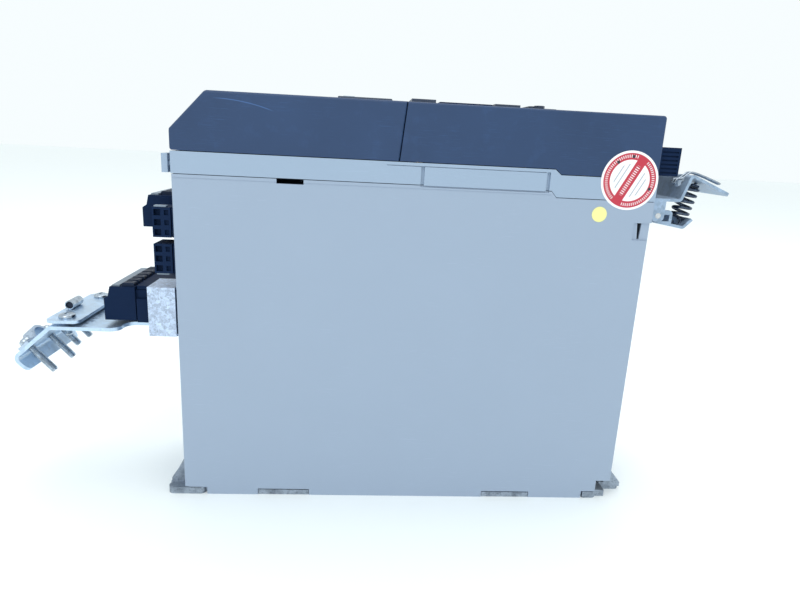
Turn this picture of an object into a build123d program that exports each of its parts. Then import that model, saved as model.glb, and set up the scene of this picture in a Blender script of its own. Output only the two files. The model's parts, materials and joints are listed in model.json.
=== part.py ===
from build123d import *
import os

# Servo drive, slim cabinet model, in millimetres.
# Origin: middle of the rear mounting face. +X runs along the length to the control-cable end,
# +Y to the far side wall, +Z from the rear mounting face up to the operator's face.

# ---- housing -------------------------------------------------------------------------------
body_length = 248.0
body_width = 70.0
shell_height = 179.0          # rear face to the seam under the front frame
band_height = 11.2            # light front frame between the shells and the dark covers
cover_height = 29.3           # dark covers above the front frame
wall = 2.0
seam = 0.2                    # visible gap between neighbouring housing pieces
frame_seam = 0.35             # gap under the front frame
cover_seam = 0.4              # gap under the dark covers
cover_split_gap = 0.15        # half gap between the dark covers
fit_gap = 0.3                 # clearance round a piece that slides or drops into an opening
screw_gap = 0.08              # radial clearance of a screw or pin in its hole
recess_width = 0.9            # arms of the cross recess in a screw head
edge_round = 1.2
cover_chamfer_run = 17.6
cover_chamfer_drop = 18.5
cover_chamfer_round = 3.0
cover_end_round = 1.7
cover_split_x = -9.5          # line between the two dark covers, half way up
cover_split_lean = (1.7, -1.2)    # how far that line leans, at its top and at its foot
ridge_count = 3               # grip ridges on the end of the left cover
ridge_pitch = 1.8
ridge_rise = 3.6
ridge_height = 0.8
ridge_proud = 0.6
ridge_half = 22.0
step_drop = 3.2               # the lower edge of the front frame steps down near the right end
band_step_drop = 2.7          # its upper edge steps down a little less
step_run = 3.2
step_setback = 54.2           # right end to the start of the step
seam_step = (-0.9, 1.9)       # step of the lower edge, from the start of the upper one
shell_line_drop = 1.6         # fine line along the shells, under the front frame
shell_line_depth = 0.15
shell_line_width = 0.35
tongue_length = 63.4          # snap tongue in the front frame
tongue_start_x = 2.3
tongue_recess = 0.8
tongue_gap = 0.8              # dark gap under the tongue
groove_width = 1.8
groove_depth = 1.4
band_line_x = (-17.0, 65.3)   # fine line along the front frame
band_line_drop = 1.6
band_line_width = 0.3
end_proud = 0.6               # the upper part of the right end stands out by this much
end_step_fall = 10.8          # lower seam down to that step
side_notch_setback = 8.8      # shallow recess in the side walls at the right end
side_notch_height = 9.5
side_slot_top = (6.8, 4.4)    # tapered slot in that recess, from the right end
side_slot_foot = (6.0, 4.8)
side_slot_height = 8.6
deck_openings_x = ((-100.0, -60.0), (-50.0, 30.0))
deck_opening_half = 22.0
hook_reach = 4.9              # release hook at the left end
hook_sheet = 3.0
hook_setback = (2.0, 18.0)    # from the near side wall
hook_rise = 0.5
hook_drop = 1.4
hook_bridge_setback = (4.0, 16.0)
hook_bridge_rise = (4.0, 6.0)
grille_half = 27.0            # air slots in the end walls
grille_slot = 3.6
grille_pitch = 7.2
grille_left = (10.0, 8)       # height of the first slot, number of slots
grille_right = ((20.0, 7), (96.0, 7))
deck_thickness = 2.0
deck_rise = 2.0               # deck of the front frame above the shell seam
foot_slot_height = 3.7
foot_slots_x = ((-83.0, -54.0), (46.8, 75.1))
foot_pad_gap = 0.3            # pad of the heat sink in each foot slot
foot_pad_drop = 0.7
snap_window_x = (-72.2, -58.6)
snap_window_drop = 2.4
corner_notch_width = 8.8
corner_notch_height = 11.5

end_x = body_length / 2
side_y = body_width / 2
inner_x = end_x - wall
inner_y = side_y - wall
band_top = shell_height + band_height
cover_top = band_top + cover_height
step_x = end_x - step_setback
deck_z = shell_height + deck_rise
lower_seam_z = shell_height - step_drop
end_step_z = lower_seam_z - end_step_fall
seam_step_x = (step_x + seam_step[0], step_x + seam_step[1])

# ---- heat sink -----------------------------------------------------------------------------
plate_thickness = 4.0
fin_height = 68.0
fin_thickness = 1.5
fin_count = 9
fin_edge_gap = 5.9            # outermost fin to the inside of the side wall
sink_top_thickness = 7.0
lug_reach_left = 9.4          # beyond the housing
lug_reach_right = 10.6
lug_thickness_right = 4.7
lug_setback_right = 10.0      # lug narrower than the housing, each side
prong_width = 6.4
prong_reach_left = 11.5       # from the end wall inwards
prong_span_right = (16.0, 7.4)
prong_gap = 1.1
gusset_thickness = 3.0
mount_setback = 5.0           # mounting holes beyond the end walls
mount_hole_radius = 2.75

sink_top_z = plate_thickness + fin_height
sink_face_z = sink_top_z + sink_top_thickness
fin_pitch = 2 * (inner_y - fin_edge_gap - fin_thickness / 2) / (fin_count - 1)
mount_x = end_x + mount_setback
lug_half_left = side_y - prong_width
lug_half_right = side_y - lug_setback_right
left_prong_end = -end_x + prong_reach_left
right_prong_start = end_x - prong_span_right[0]
right_prong_tip = end_x - prong_span_right[1]

# ---- fan -----------------------------------------------------------------------------------
fan_size = 60.0
fan_depth = 20.0
fan_rise = 6.0                # rear face to the bottom of the fan frame
fan_setback = 3.0             # end wall to fan frame
fan_rim = 1.6                 # thinnest place of the frame round its duct
fan_tip_gap = 1.4
fan_hub_radius = 13.0
fan_blade_count = 7
fan_shaft_radius = 1.5
fan_shaft_gap = 0.06
fan_sink_gap = 7.0            # fan frame to the fins

fan_x = (-inner_x + fan_setback, -inner_x + fan_setback + fan_depth)
fan_axis_z = fan_rise + fan_size / 2
fan_duct_radius = fan_size / 2 - fan_rim
fan_blade_radius = fan_duct_radius - fan_tip_gap
fin_start_x = fan_x[1] + fan_sink_gap
fin_end_x = inner_x - 4.0

# ---- boards and power parts ----------------------------------------------------------------
board_thickness = 1.6
board_edge_gap = 2.0          # board edge to the inside of the side wall
module_height = 16.2
module_x = (-30.0, 55.0)
module_half = 24.0
module_flange = 5.0
module_screw_radius = 1.5
module_screw_inset = 5.0
capacitor_count = 3
capacitor_radius = 16.0
capacitor_height = 60.0
capacitor_gap = 5.0
capacitor_setback = 92.0      # riser board to the last capacitor
capacitor_groove = 1.2
capacitor_groove_rise = 5.0
choke_radius = 18.0
choke_width = 14.0
choke_ring = 10.0             # thickness of the wound ring
choke_setback = 50.0
choke_foot = (24.0, 18.0, 8.0)
relay_size = (20.0, 18.0, 26.0)
relay_setback = 6.0
relay_y = -28.0
transformer_setback = 15.5
transformer_y = 16.0
core_size = (25.0, 20.0, 22.0)
bobbin_size = (17.0, 28.0, 16.0)
transformer_foot = (21.0, 24.0, 3.0)
# each chip: length, width, height, setback from the riser board, near edge
chips = ((20.0, 20.0, 1.8, 22.0, -24.0), (14.0, 14.0, 1.4, 20.0, 4.0))
control_board_drop = 15.1     # front face to the underside of the control board
post_radius = 3.0
post_inset = 7.0              # from the inside of the side wall

power_board_z = sink_face_z + module_height
board_top_z = power_board_z + board_thickness
control_board_z = cover_top - control_board_drop
control_board_top = control_board_z + board_thickness
terminal_board_x = -inner_x + 12.0
riser_x = inner_x - 22.0
riser_half = 18.0
post_y = inner_y - post_inset
power_board_x = (terminal_board_x + board_thickness + 1.0, inner_x - 3.0)
board_post_places = [(x, y) for x in (fin_start_x + 6.0, fin_end_x - 8.0) for y in (-post_y, post_y)]
control_post_places = [(x, y) for x in (cover_split_x + 9.5, riser_x - 12.0) for y in (-post_y, post_y)]
module_screw_y = module_half - module_screw_inset
module_screw_places = [
    (x, y)
    for x in (module_x[0] + module_screw_inset, module_x[1] - module_screw_inset)
    for y in (-module_screw_y, module_screw_y)
]

# ---- pluggable terminals at the left end ---------------------------------------------------
power_pitch = 7.62
signal_pitch = 5.08
entry_size = 3.8              # square wire entries
entry_depth = 9.0
entry_rise = 6.2
header_wall = 1.4
header_back = 6.0
plug_seat_gap = 0.6           # plug to the face of its header
plug_chamfer = (3.3, 6.6)
plug_step = (2.2, 5.1)        # small ledge near the foot of the slope
plug_tongue = 12.0            # part of a power plug that goes into its header
plug_end_margin = 1.28        # last pole to the end of the plug, less half a pitch
motor_poles = 6
motor_plug_z = (98.8, 117.3)
motor_plug_reach = 41.7       # beyond the end wall
motor_plug_body = 16.5
mains_poles = 5
mains_end_margin = 5.9
mains_plug_centre_y = 9.0
mains_plug_z = (148.9, 165.9)
mains_plug_reach = 22.3
mains_plug_body = 15.9
release_length = 6.3          # spring-release levers on top of the plugs
release_height = 2.0
release_width = 5.2
release_setback = 0.8
strip_width = 3.8
strip_height = 0.9
aux_poles = 3
aux_plug_setback = 2.0        # side wall to the plug
aux_plug_depth = 15.0
aux_header_step = 0.6         # the header is this much narrower than its plug, on the near side
aux_plug_reach = 10.8
aux_plug_body = 9.2
aux_plug_rises = (127.9, 146.7)
aux_entry = (3.8, 3.2, 6.0)   # wire entries of the small plugs: across, along Z, deep
aux_entry_setback = 5.5
aux_window = (3.4, 2.4)       # test openings in their near side: along X, deep
aux_catch = (2.2, 1.2, 2.6)

motor_plug_width = motor_poles * power_pitch + plug_end_margin
motor_plug_y = (-motor_plug_width / 2, motor_plug_width / 2)
motor_plug_x = (-end_x - motor_plug_reach, -end_x - motor_plug_reach + motor_plug_body)
mains_plug_width = mains_poles * power_pitch + mains_end_margin
mains_plug_y = (mains_plug_centre_y - mains_plug_width / 2, mains_plug_centre_y + mains_plug_width / 2)
mains_plug_x = (-end_x - mains_plug_reach, -end_x - mains_plug_reach + mains_plug_body)
aux_plug_y = (-side_y + aux_plug_setback, -side_y + aux_plug_setback + aux_plug_depth)
aux_header_y = (aux_plug_y[0] + aux_header_step, aux_plug_y[1])
aux_plug_x = (-end_x - aux_plug_reach, -end_x - aux_plug_reach + aux_plug_body)
aux_plug_length = aux_poles * signal_pitch + 0.06

# ---- left shield plate ---------------------------------------------------------------------
bracket_setback = 4.8         # cheeks of the bracket to the side walls
bracket_sheet = 1.2
bracket_reach = (16.0, 1.7)   # beyond the end wall
bracket_floor_gap = 4.8       # bracket floor to the motor plug
bracket_wall_height = 26.9
bracket_fold = 20.0           # top edge of each cheek, folded in over the header
shield_sheet = 2.0
shield_reach = 68.5           # end wall to the upper bend
slope_run = 19.5
slope_fall = 17.6
shield_lip = 9.5
shield_bend_radius = 3.0
shield_lip_round = 4.0
shield_neck_reach = 32.5      # end wall to the shoulders of the plate
shield_neck_half = 17.2       # half width of the plate between the shoulders and the bracket
shield_shoulder_round = 5.5
clamp_screw_radius = 2.0
clamp_head_radius = 3.1
clamp_head_height = 3.0
saddle_sheet = 1.5
saddle_station = 18.0         # from the upper bend along the slope
saddle_width = 7.0
saddle_foot = 4.0             # screw to the end of the foot
near_saddle_head_gap = 0.9    # arch to screw head
far_saddle_head_gap = 0.1
near_saddle_y = -14.2
near_saddle_radius = 5.3
near_screw_length = 20.8
far_saddle_y = 18.0
far_saddle_radius = 3.1
far_screw_length = 17.0
strain_bar_reach = (53.4, 71.0)
strain_bar_gap = 1.5
strain_bar_thickness = 1.6
strain_bar_round = 4.0
strain_screw_y = 22.0
strain_screw_length = 10.0
pan_head_radius = 4.3
pan_head_height = 2.6
plate_screw_radius = 2.0
plate_head_radius = 2.9
plate_head_height = 1.3       # low, so that it clears the header above
plate_screw_length = 6.0
plate_screw_y = 11.0
plate_screw_reach = 9.0

bracket_half = side_y - bracket_setback
shield_half = bracket_half - seam
bracket_x = (-end_x - bracket_reach[0], -end_x - bracket_reach[1])
bracket_floor_z = motor_plug_z[0] - bracket_floor_gap - bracket_sheet
bracket_wall_top = bracket_floor_z + bracket_wall_height
shield_z = bracket_floor_z + bracket_sheet + seam / 2 + shield_sheet / 2
shield_bend = (-end_x - shield_reach, shield_z)
shield_low = (shield_bend[0] - slope_run, shield_bend[1] - slope_fall)
shield_neck_x = -end_x - shield_neck_reach
slope = Vector(-slope_run, 0, -slope_fall).normalized()
slope_out = Vector(slope.Z, 0, -slope.X)      # outward side of the flange, where the saddles sit
strain_bar_x = (-end_x - strain_bar_reach[1], -end_x - strain_bar_reach[0])
strain_x = sum(strain_bar_x) / 2
strain_bar_low = shield_z + shield_sheet / 2 + strain_bar_gap
strain_bar_z = (strain_bar_low, strain_bar_low + strain_bar_thickness)
plate_screw_x = -end_x - plate_screw_reach
near_saddle_pitch = 2 * (near_saddle_radius + saddle_sheet + clamp_head_radius + near_saddle_head_gap)
far_saddle_pitch = 2 * (far_saddle_radius + saddle_sheet + clamp_head_radius + far_saddle_head_gap)

# ---- right shield bracket and control plug -------------------------------------------------
clip_sheet = 1.5
clip_setback = 5.0            # bracket narrower than the housing, each side
clip_rise = 1.25              # frame seam to the middle of the sheet
clip_foot_reach = 17.2
clip_crest_run = 4.4
clip_crest_rise = 13.35
clip_tip_run = 22.6
clip_tip_fall = 9.4
clip_tip_round = 3.0
clip_ear = (3.4, 3.4, 3.0)    # ears of the lever pin: left of it, right of it, below it
clip_ear_round = 2.6
spring_notch_radius = 4.0     # notches in the riser that the springs hook into
spring_notch_drop = 2.4
lever_pin_reach = 6.0
lever_pin_drop = 8.55
lever_pin_radius = 1.5
lever_pin_gap = 0.05
lever_sheet = 1.5
lever_setback = 4.0           # lever narrower than the bracket, each side
lever_reach = 17.0            # pin to the upturned lip
lever_fall = 6.2
lever_heel = (2.6, 3.0)       # start of the lever, left of the pin and below it
lever_lip = (4.4, 4.6)
lever_ear = (3.0, 10.0, 2.8)  # side plates: left of the pin, right of it, above it
lever_ear_fall = (3.4, 5.4)
lever_ear_round = 2.2
lever_window = (3.4, 8.4, 3.6)    # opening in each side plate: from, to, height
lever_window_drop = 3.2
lever_slot_x = (10.0, 16.0)   # slots in the floor of the lever, from the pin
lever_slot_y = (4.0, 12.0)
spring_setback = 9.5
spring_radius = 4.4
spring_wire = 0.6
spring_turns = 5.5
spring_lean = (4.5, 18.0)     # top to foot of a spring, along X and Z
spring_seat = (0.8, 5.2)
control_plug_gap = 1.2
control_plug_body = 12.0
control_plug_tongue = 7.0
control_header_depth = 10.0
control_poles = 11
control_plug_margin = 4.36
control_plug_height = 14.6
control_plug_drop = 0.6       # below the top of the front frame
control_rib_count = 6
control_rib_pitch = 2.1
control_rib_groove = (0.8, 0.7)   # height and depth of the grooves between the ribs
control_rib_setback = (2.0, 1.2)
control_entry = (3.2, 3.2, 6.0)
control_entry_drop = 4.0

clip_half = side_y - clip_setback
clip_floor_z = lower_seam_z + clip_rise
clip_foot = (end_x + clip_foot_reach, clip_floor_z)
clip_crest = (clip_foot[0] + clip_crest_run, clip_floor_z + clip_crest_rise)
clip_tip = (clip_crest[0] + clip_tip_run, clip_crest[1] - clip_tip_fall)
lever_pin = (end_x + lever_pin_reach, clip_floor_z - lever_pin_drop)
lever_half = clip_half - lever_setback
lever_path = [
    (lever_pin[0] - lever_heel[0], lever_pin[1] - lever_heel[1]),
    (lever_pin[0] + lever_reach, lever_pin[1] - lever_fall),
    (lever_pin[0] + lever_reach + lever_lip[0], lever_pin[1] - lever_fall + lever_lip[1]),
]
spring_y = clip_half - spring_setback
spring_top = (clip_crest[0] + clip_sheet + spring_radius - spring_seat[0], clip_crest[1] - spring_seat[1])
spring_bottom = (spring_top[0] - spring_lean[0], spring_top[1] - spring_lean[1])
control_plug_half = (control_poles * signal_pitch + control_plug_margin) / 2
control_plug_x = (end_x + control_plug_gap, end_x + control_plug_gap + control_plug_body)
control_plug_z = (band_top - control_plug_drop, band_top - control_plug_drop + control_plug_height)

# ---- operator panel and front sockets ------------------------------------------------------
panel_length = 27.6
panel_setback = 5.75          # panel to the line between the covers
panel_half = 26.0
panel_proud = 1.3
panel_height = 8.0
panel_plate = 1.8
panel_wall = 1.5
key_count = 4
key_pitch = 11.0
key_size = (6.0, 8.0)
key_setback = 5.5             # panel end to the middle of the keys
key_proud = 0.6
key_flange = 1.0
key_flange_step = 0.8
window_setback = (12.0, 24.0)
window_half = 19.0
window_gap = 0.1
bus_ports_proud = 2.7
drive_ports_proud = 2.3
feedback_proud = 2.5
port_pitch = 16.2             # between the sockets of a pair, across the device
port_opening = (11.9, 8.6)    # across the device, along the device
port_depth = 11.0
port_catch = (6.4, 1.4)
bus_ports_setback = 4.9       # line between the covers to the first sockets
front_gap = 1.6               # between the sockets and plugs of the right cover
bus_ports_length = 12.6
drive_ports_length = 13.4
io_pitch = 3.5
io_poles = 7
io_end_margin = 3.8
io_plug_y = (4.0, 17.0)
io_plug_proud = 1.8
io_plug_body = 9.0
io_plug_tongue = 3.4
io_wall = 1.0
io_entry = 2.4
io_rows = (2.6, 6.2)          # rows of entries, from the near and from the far edge of a plug
io_entry_depth = 5.0
feedback_length = 17.0
feedback_half = 19.5
feedback_rim = (8.4, 24.8)    # metal rim round the contacts
feedback_sheet = 0.6
feedback_flange_drop = 1.4
feedback_mouth_depth = 5.0
feedback_post_y = 16.6

panel_x = (cover_split_x - panel_setback - panel_length, cover_split_x - panel_setback)
panel_top = cover_top + panel_proud
key_row_x = panel_x[0] + key_setback
key_rows = [(number - (key_count - 1) / 2) * key_pitch for number in range(key_count)]
window_x = (panel_x[0] + window_setback[0], panel_x[0] + window_setback[1])
bus_ports_low_x = cover_split_x + bus_ports_setback
bus_ports_x = (bus_ports_low_x, bus_ports_low_x + bus_ports_length)
feedback_top = cover_top + feedback_proud
io_plug_length = io_poles * io_pitch + io_end_margin
io_plug_x = (bus_ports_x[1] + front_gap, bus_ports_x[1] + front_gap + io_plug_length)
io_plug_bands = [(-io_plug_y[1], -io_plug_y[0]), io_plug_y]
io_plug_low = cover_top + io_plug_proud - io_plug_body
drive_ports_x = (io_plug_x[1] + front_gap, io_plug_x[1] + front_gap + drive_ports_length)
feedback_x = (drive_ports_x[1] + front_gap, drive_ports_x[1] + front_gap + feedback_length)

# ---- labels --------------------------------------------------------------------------------
seal_setback = 14.7
seal_rise = 7.5
seal_radius = 15.2
dot_setback = 28.4
dot_drop = 10.6
dot_radius = 4.0
label_gap = 0.02
label_thickness = 0.15

seal_place = (end_x - seal_setback, shell_height + seal_rise)
dot_place = (end_x - dot_setback, shell_height - dot_drop)


def block(x, y, z):
    """Box between the low and high value of each pair."""
    return Pos(sum(x) / 2, sum(y) / 2, sum(z) / 2) * Box(x[1] - x[0], y[1] - y[0], z[1] - z[0])


def widened(pair):
    """The pair of values with the clearance of an opening on both sides."""
    return pair[0] - fit_gap, pair[1] + fit_gap


def prism(points, y):
    """Outline of (x, z) points, carried along Y between the two values of y."""
    plane = Plane(origin=(0, y[1], 0), x_dir=(1, 0, 0), z_dir=(0, -1, 0))
    return extrude(plane * Polygon(*points, align=None), amount=y[1] - y[0], dir=plane.z_dir)


def bent_sheet(points, thickness, y, radius):
    """Sheet metal whose middle line runs through the (x, z) points, carried along Y."""
    plane = Plane(origin=(0, y[1], 0), x_dir=(1, 0, 0), z_dir=(0, -1, 0))
    outline = trace(FilletPolyline(*points, radius=radius), line_width=thickness)
    return extrude(plane * outline, amount=y[1] - y[0], dir=plane.z_dir)


def sheet_corners(sheet, thickness, end):
    """Edges through the thickness of a bent sheet, at the (x, z) end of its middle line."""
    across = sheet.edges().filter_by(lambda edge: abs(edge.length - thickness) < 0.01)
    return across.filter_by(lambda edge: abs(edge.center().X - end[0]) + abs(edge.center().Z - end[1]) < 1)


def rod(start, direction, radius, length):
    """Cylinder from start along direction."""
    return extrude(Plane(origin=start, z_dir=direction) * Circle(radius), amount=length)


def pan_screw(start, direction, radius, length, head_radius, head_height, slot_depth=1.2):
    """Screw whose head rests at start: the head stands against direction, the shank follows it."""
    axis = Vector(*direction).normalized()
    seat = Vector(*start)
    head_plane = Plane(origin=seat, z_dir=axis * -1)
    head = extrude(head_plane * Circle(head_radius), amount=head_height)
    head = fillet(head.faces().sort_by(head_plane_axis(head_plane))[-1].edges(), head_height * 0.4)
    arm = head_radius * 1.3
    cross = Rectangle(arm, recess_width) + Rectangle(recess_width, arm)
    recess = extrude(head_plane.offset(head_height - slot_depth) * cross, amount=slot_depth + 1)
    return head - recess + rod(seat, axis, radius, length)


def head_plane_axis(plane):
    """Axis through a plane's origin along its normal."""
    return Axis(plane.origin, plane.z_dir)


def both_sides(shape):
    """The shape and its mirror image across the middle plane of the width."""
    return [shape, mirror(shape, about=Plane.XZ)]


def group(solids):
    """Separate solids kept together in one node."""
    return Compound([solid for shape in solids for solid in shape.solids()])


# ---- heat sink and housing -----------------------------------------------------------------
def make_heat_sink():
    """Cast mounting plate with lugs and gussets, fins and the plate that the power module sits on."""
    base = block((-inner_x + seam, inner_x - seam), (-inner_y + seam, inner_y - seam), (0, plate_thickness))
    top = block((fin_start_x, fin_end_x), (-inner_y + 2, inner_y - 2), (sink_top_z, sink_face_z))
    fins = []
    for number in range(fin_count):
        y = (number - (fin_count - 1) / 2) * fin_pitch
        fins.append(
            block(
                (fin_start_x, fin_end_x),
                (y - fin_thickness / 2, y + fin_thickness / 2),
                (plate_thickness - 0.5, sink_top_z + 0.5),
            )
        )
    left_tip = -end_x - lug_reach_left
    right_tip = end_x + lug_reach_right
    left_lug = block((left_tip, -inner_x + 1), (-lug_half_left, lug_half_left), (0, plate_thickness))
    right_lug = block((inner_x - 1, right_tip), (-lug_half_right, lug_half_right), (0, lug_thickness_right))
    right_lug = fillet(right_lug.edges().filter_by(Axis.Z).group_by(Axis.X)[-1], 3.0)
    prong_y = side_y - prong_width / 2
    left_prong = rod((left_tip + prong_width / 2, prong_y, 0), (0, 0, 1), prong_width / 2, plate_thickness)
    left_prong_round = left_prong_end - prong_width / 2
    left_prong += rod((left_prong_round, prong_y, 0), (0, 0, 1), prong_width / 2, plate_thickness)
    left_prong += block(
        (left_tip + prong_width / 2, left_prong_round), (side_y - prong_width, side_y), (0, plate_thickness)
    )
    right_prong_round = right_prong_tip - prong_width / 2
    right_prong = rod((right_prong_round, prong_y, 0), (0, 0, 1), prong_width / 2, plate_thickness)
    right_prong += block(
        (right_prong_start, right_prong_round), (side_y - prong_width, side_y), (0, plate_thickness)
    )
    pads = [
        block((low + foot_pad_gap, high - foot_pad_gap), (-side_y + foot_pad_gap, side_y - foot_pad_gap),
              (0, foot_slot_height - foot_pad_drop))
        for low, high in foot_slots_x
    ]
    left_root = -end_x - 2 * seam
    left_gusset = prism(
        [(left_tip + 0.6, 2), (left_tip + 0.6, 6.3), (left_root, 18.8), (left_root, 2)],
        (lug_half_left - gusset_thickness, lug_half_left),
    )
    right_root = end_x + 2 * seam
    right_slope = [(right_tip, lug_thickness_right), (end_x + 4.4, 12.3), (right_root, 18.2)]
    right_gusset = prism(
        [(right_tip, 2)] + right_slope + [(right_root, 2)],
        (lug_half_right - gusset_thickness, lug_half_right),
    )
    sink = base + top + fins + pads + [left_lug, right_lug]
    sink += both_sides(left_prong) + both_sides(right_prong)
    sink += both_sides(left_gusset) + both_sides(right_gusset)
    holes = [rod((x, 0, -1), (0, 0, 1), mount_hole_radius, 10) for x in (-mount_x, mount_x)]
    tapped = [
        rod((x, y, sink_top_z - 2), (0, 0, 1), module_screw_radius + screw_gap, 20)
        for x, y in module_screw_places
    ]
    return sink - holes - tapped


def shell_outline():
    """Side outline of the shells, with the lower seam at the right end."""
    return [
        (-end_x, 0), (end_x, 0), (end_x, end_step_z), (end_x + end_proud, end_step_z),
        (end_x + end_proud, lower_seam_z), (seam_step_x[1], lower_seam_z), (seam_step_x[0], shell_height),
        (-end_x, shell_height),
    ]


def grille_slots(x, low_z, count):
    """A ladder of air slots through an end wall."""
    rises = [low_z + grille_pitch * row for row in range(count)]
    return [block(x, (-grille_half, grille_half), (rise, rise + grille_slot)) for rise in rises]


def end_wall_cuts():
    """Openings in the two end walls: air slots, lugs, brackets and terminals."""
    left = (-end_x - 1, -inner_x + 0.5)
    right = (inner_x - 0.5, end_x + 1)
    clear = fit_gap
    cuts = grille_slots(left, *grille_left)
    for ladder in grille_right:
        cuts += grille_slots(right, *ladder)
    cuts.append(block(left, (-side_y - 1, side_y + 1), (-1, plate_thickness + 0.6)))
    cuts.append(block(right, (-side_y - 1, side_y + 1), (-1, lug_thickness_right + 0.6)))
    half = motor_plug_width / 2 + clear
    cuts.append(block(left, (-half, half),
                      (motor_plug_z[0] - 1.0 - clear, motor_plug_z[1] + plug_seat_gap + clear)))
    cuts.append(block(left, (-bracket_half - clear, bracket_half + clear),
                      (bracket_floor_z - clear, bracket_floor_z + bracket_sheet + clear)))
    for rise in aux_plug_rises:
        cuts.append(block(left, (aux_plug_y[0] - clear + 0.5, aux_plug_y[1] + clear),
                          (rise - clear, rise + aux_plug_length + clear)))
    cuts.append(block(left, (mains_plug_y[0] - clear, mains_plug_y[1] + clear),
                      (mains_plug_z[0] - clear, mains_plug_z[1] + clear)))
    return cuts


def side_wall_cuts():
    """Openings and recesses in the two long side walls."""
    across = (-side_y - 1, side_y + 1)
    cuts = [block(x, across, (-1, foot_slot_height)) for x in foot_slots_x]
    cuts.append(block((-end_x - 1, left_prong_end + prong_gap), across, (-1, plate_thickness + 0.4)))
    cuts.append(block((right_prong_start - prong_gap, end_x + 1), across, (-1, plate_thickness + 0.4)))
    cuts.append(block((end_x - corner_notch_width, end_x + 1), across, (-1, corner_notch_height)))
    cuts.append(block(snap_window_x, across, (shell_height - snap_window_drop, shell_height + 1)))
    tongue_x = (tongue_start_x - groove_width, tongue_start_x + tongue_length + groove_width)
    notch_z = (end_step_z - side_notch_height, end_step_z - frame_seam)
    line_z = shell_height - shell_line_drop
    for depth, x, z in (
        (tongue_recess, tongue_x, (shell_height - tongue_gap, shell_height + 1)),
        (tongue_recess, (end_x - side_notch_setback, end_x + 1), notch_z),
        (shell_line_depth, (-end_x - 1, seam_step_x[0]), (line_z - shell_line_width, line_z)),
    ):
        inside = side_y - depth
        cuts += both_sides(block(x, (inside, side_y + 1), z))
    slot = [(end_x - setback, notch_z[1]) for setback in side_slot_top]
    slot += [(end_x - setback, notch_z[1] - side_slot_height) for setback in reversed(side_slot_foot)]
    cuts += both_sides(prism(slot, (inner_y - 1, side_y + 1)))
    return cuts


def make_shells():
    """Two half shells that meet in the middle of the width: near side and far side."""
    whole = prism(shell_outline(), (-side_y, side_y))
    whole = fillet(whole.edges().filter_by(Axis.Z).filter_by(lambda edge: edge.length > 100), edge_round)
    whole -= block((-inner_x, inner_x), (-inner_y, inner_y), (-1, shell_height + 1))
    whole = whole - end_wall_cuts() - side_wall_cuts()
    near = whole & block((-end_x - 5, end_x + 5), (-side_y - 1, -seam / 4), (-5, shell_height + 5))
    far = whole & block((-end_x - 5, end_x + 5), (seam / 4, side_y + 1), (-5, shell_height + 5))
    return near, far


def frame_outline():
    """Side outline of the front frame, from the shell seam up to the dark covers."""
    right = end_x + end_proud
    high_right = band_top - band_step_drop
    return [
        (-end_x, shell_height + frame_seam), (seam_step_x[0], shell_height + frame_seam),
        (seam_step_x[1], lower_seam_z + frame_seam), (right, lower_seam_z + frame_seam),
        (right, high_right), (step_x + step_run, high_right), (step_x, band_top), (-end_x, band_top),
    ]


def make_front_frame():
    """Light frame between shells and covers, with its deck and snap tongues."""
    frame = prism(frame_outline(), (-side_y, side_y))
    inner_end = inner_x + end_proud
    frame -= block((-inner_x, inner_end), (-inner_y, inner_y), (lower_seam_z - 1, deck_z))
    frame -= block((-inner_x, inner_end), (-inner_y, inner_y), (deck_z + deck_thickness, band_top + 1))
    for x in deck_openings_x + ((riser_x - 3, riser_x + 5),):
        frame -= block(x, (-deck_opening_half, deck_opening_half),
                       (deck_z - 1, deck_z + deck_thickness + 1))
    left_x = tongue_start_x
    right_x = tongue_start_x + tongue_length
    line_z = band_top - band_line_drop
    for x in ((left_x - groove_width, left_x), (right_x, right_x + groove_width)):
        groove = block(x, (side_y - groove_depth, side_y + 1), (shell_height, line_z))
        frame -= both_sides(groove)
    line = block(band_line_x, (side_y - tongue_recess, side_y + 1), (line_z - band_line_width, line_z))
    frame -= both_sides(line)
    skin = block((left_x, right_x), (side_y - tongue_recess + 0.1, side_y),
                 (shell_height, shell_height + 1))
    frame += both_sides(skin)
    sheet_z = clip_floor_z - clip_sheet / 2
    frame -= block((inner_x - 0.5, end_x + 2), (-clip_half - fit_gap, clip_half + fit_gap),
                   (sheet_z - fit_gap, sheet_z + clip_sheet + fit_gap))
    return frame


def split_x(z, gap):
    """The leaning line between the covers at height z, moved along X by gap."""
    top, foot = cover_split_lean
    share = (z - band_top) / cover_height
    return cover_split_x + foot + (top - foot) * share + gap


def round_cover(cover, place, radius):
    """Round the edges of a cover that lie along Y at one (x, z) place."""
    return fillet(cover.edges().filter_by(Axis.Y).sort_by(
        lambda edge: abs(edge.center().X - place[0]) + abs(edge.center().Z - place[1]))[0], radius)


def round_sides(cover, low_z):
    """Round the side edges of a cover that lie above low_z."""
    edges = cover.edges().filter_by(lambda edge: edge.center().Z > low_z and edge.length < 2 * body_length)
    return fillet(edges.filter_by(lambda edge: abs(abs(edge.center().Y) - side_y) < 0.01), edge_round)


def left_cover_outline(inset):
    """Side outline of the dark left cover, drawn in by inset on its top and ends."""
    left = -end_x + inset
    top = cover_top - inset
    shoulder = inset * 0.42
    low = band_top + cover_seam - (1 if inset else 0)
    gap = -cover_split_gap - inset
    return [
        (left, low), (left, cover_top - cover_chamfer_drop - shoulder),
        (-end_x + cover_chamfer_run + shoulder, top), (split_x(top, gap), top), (split_x(low, gap), low),
    ]


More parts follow.
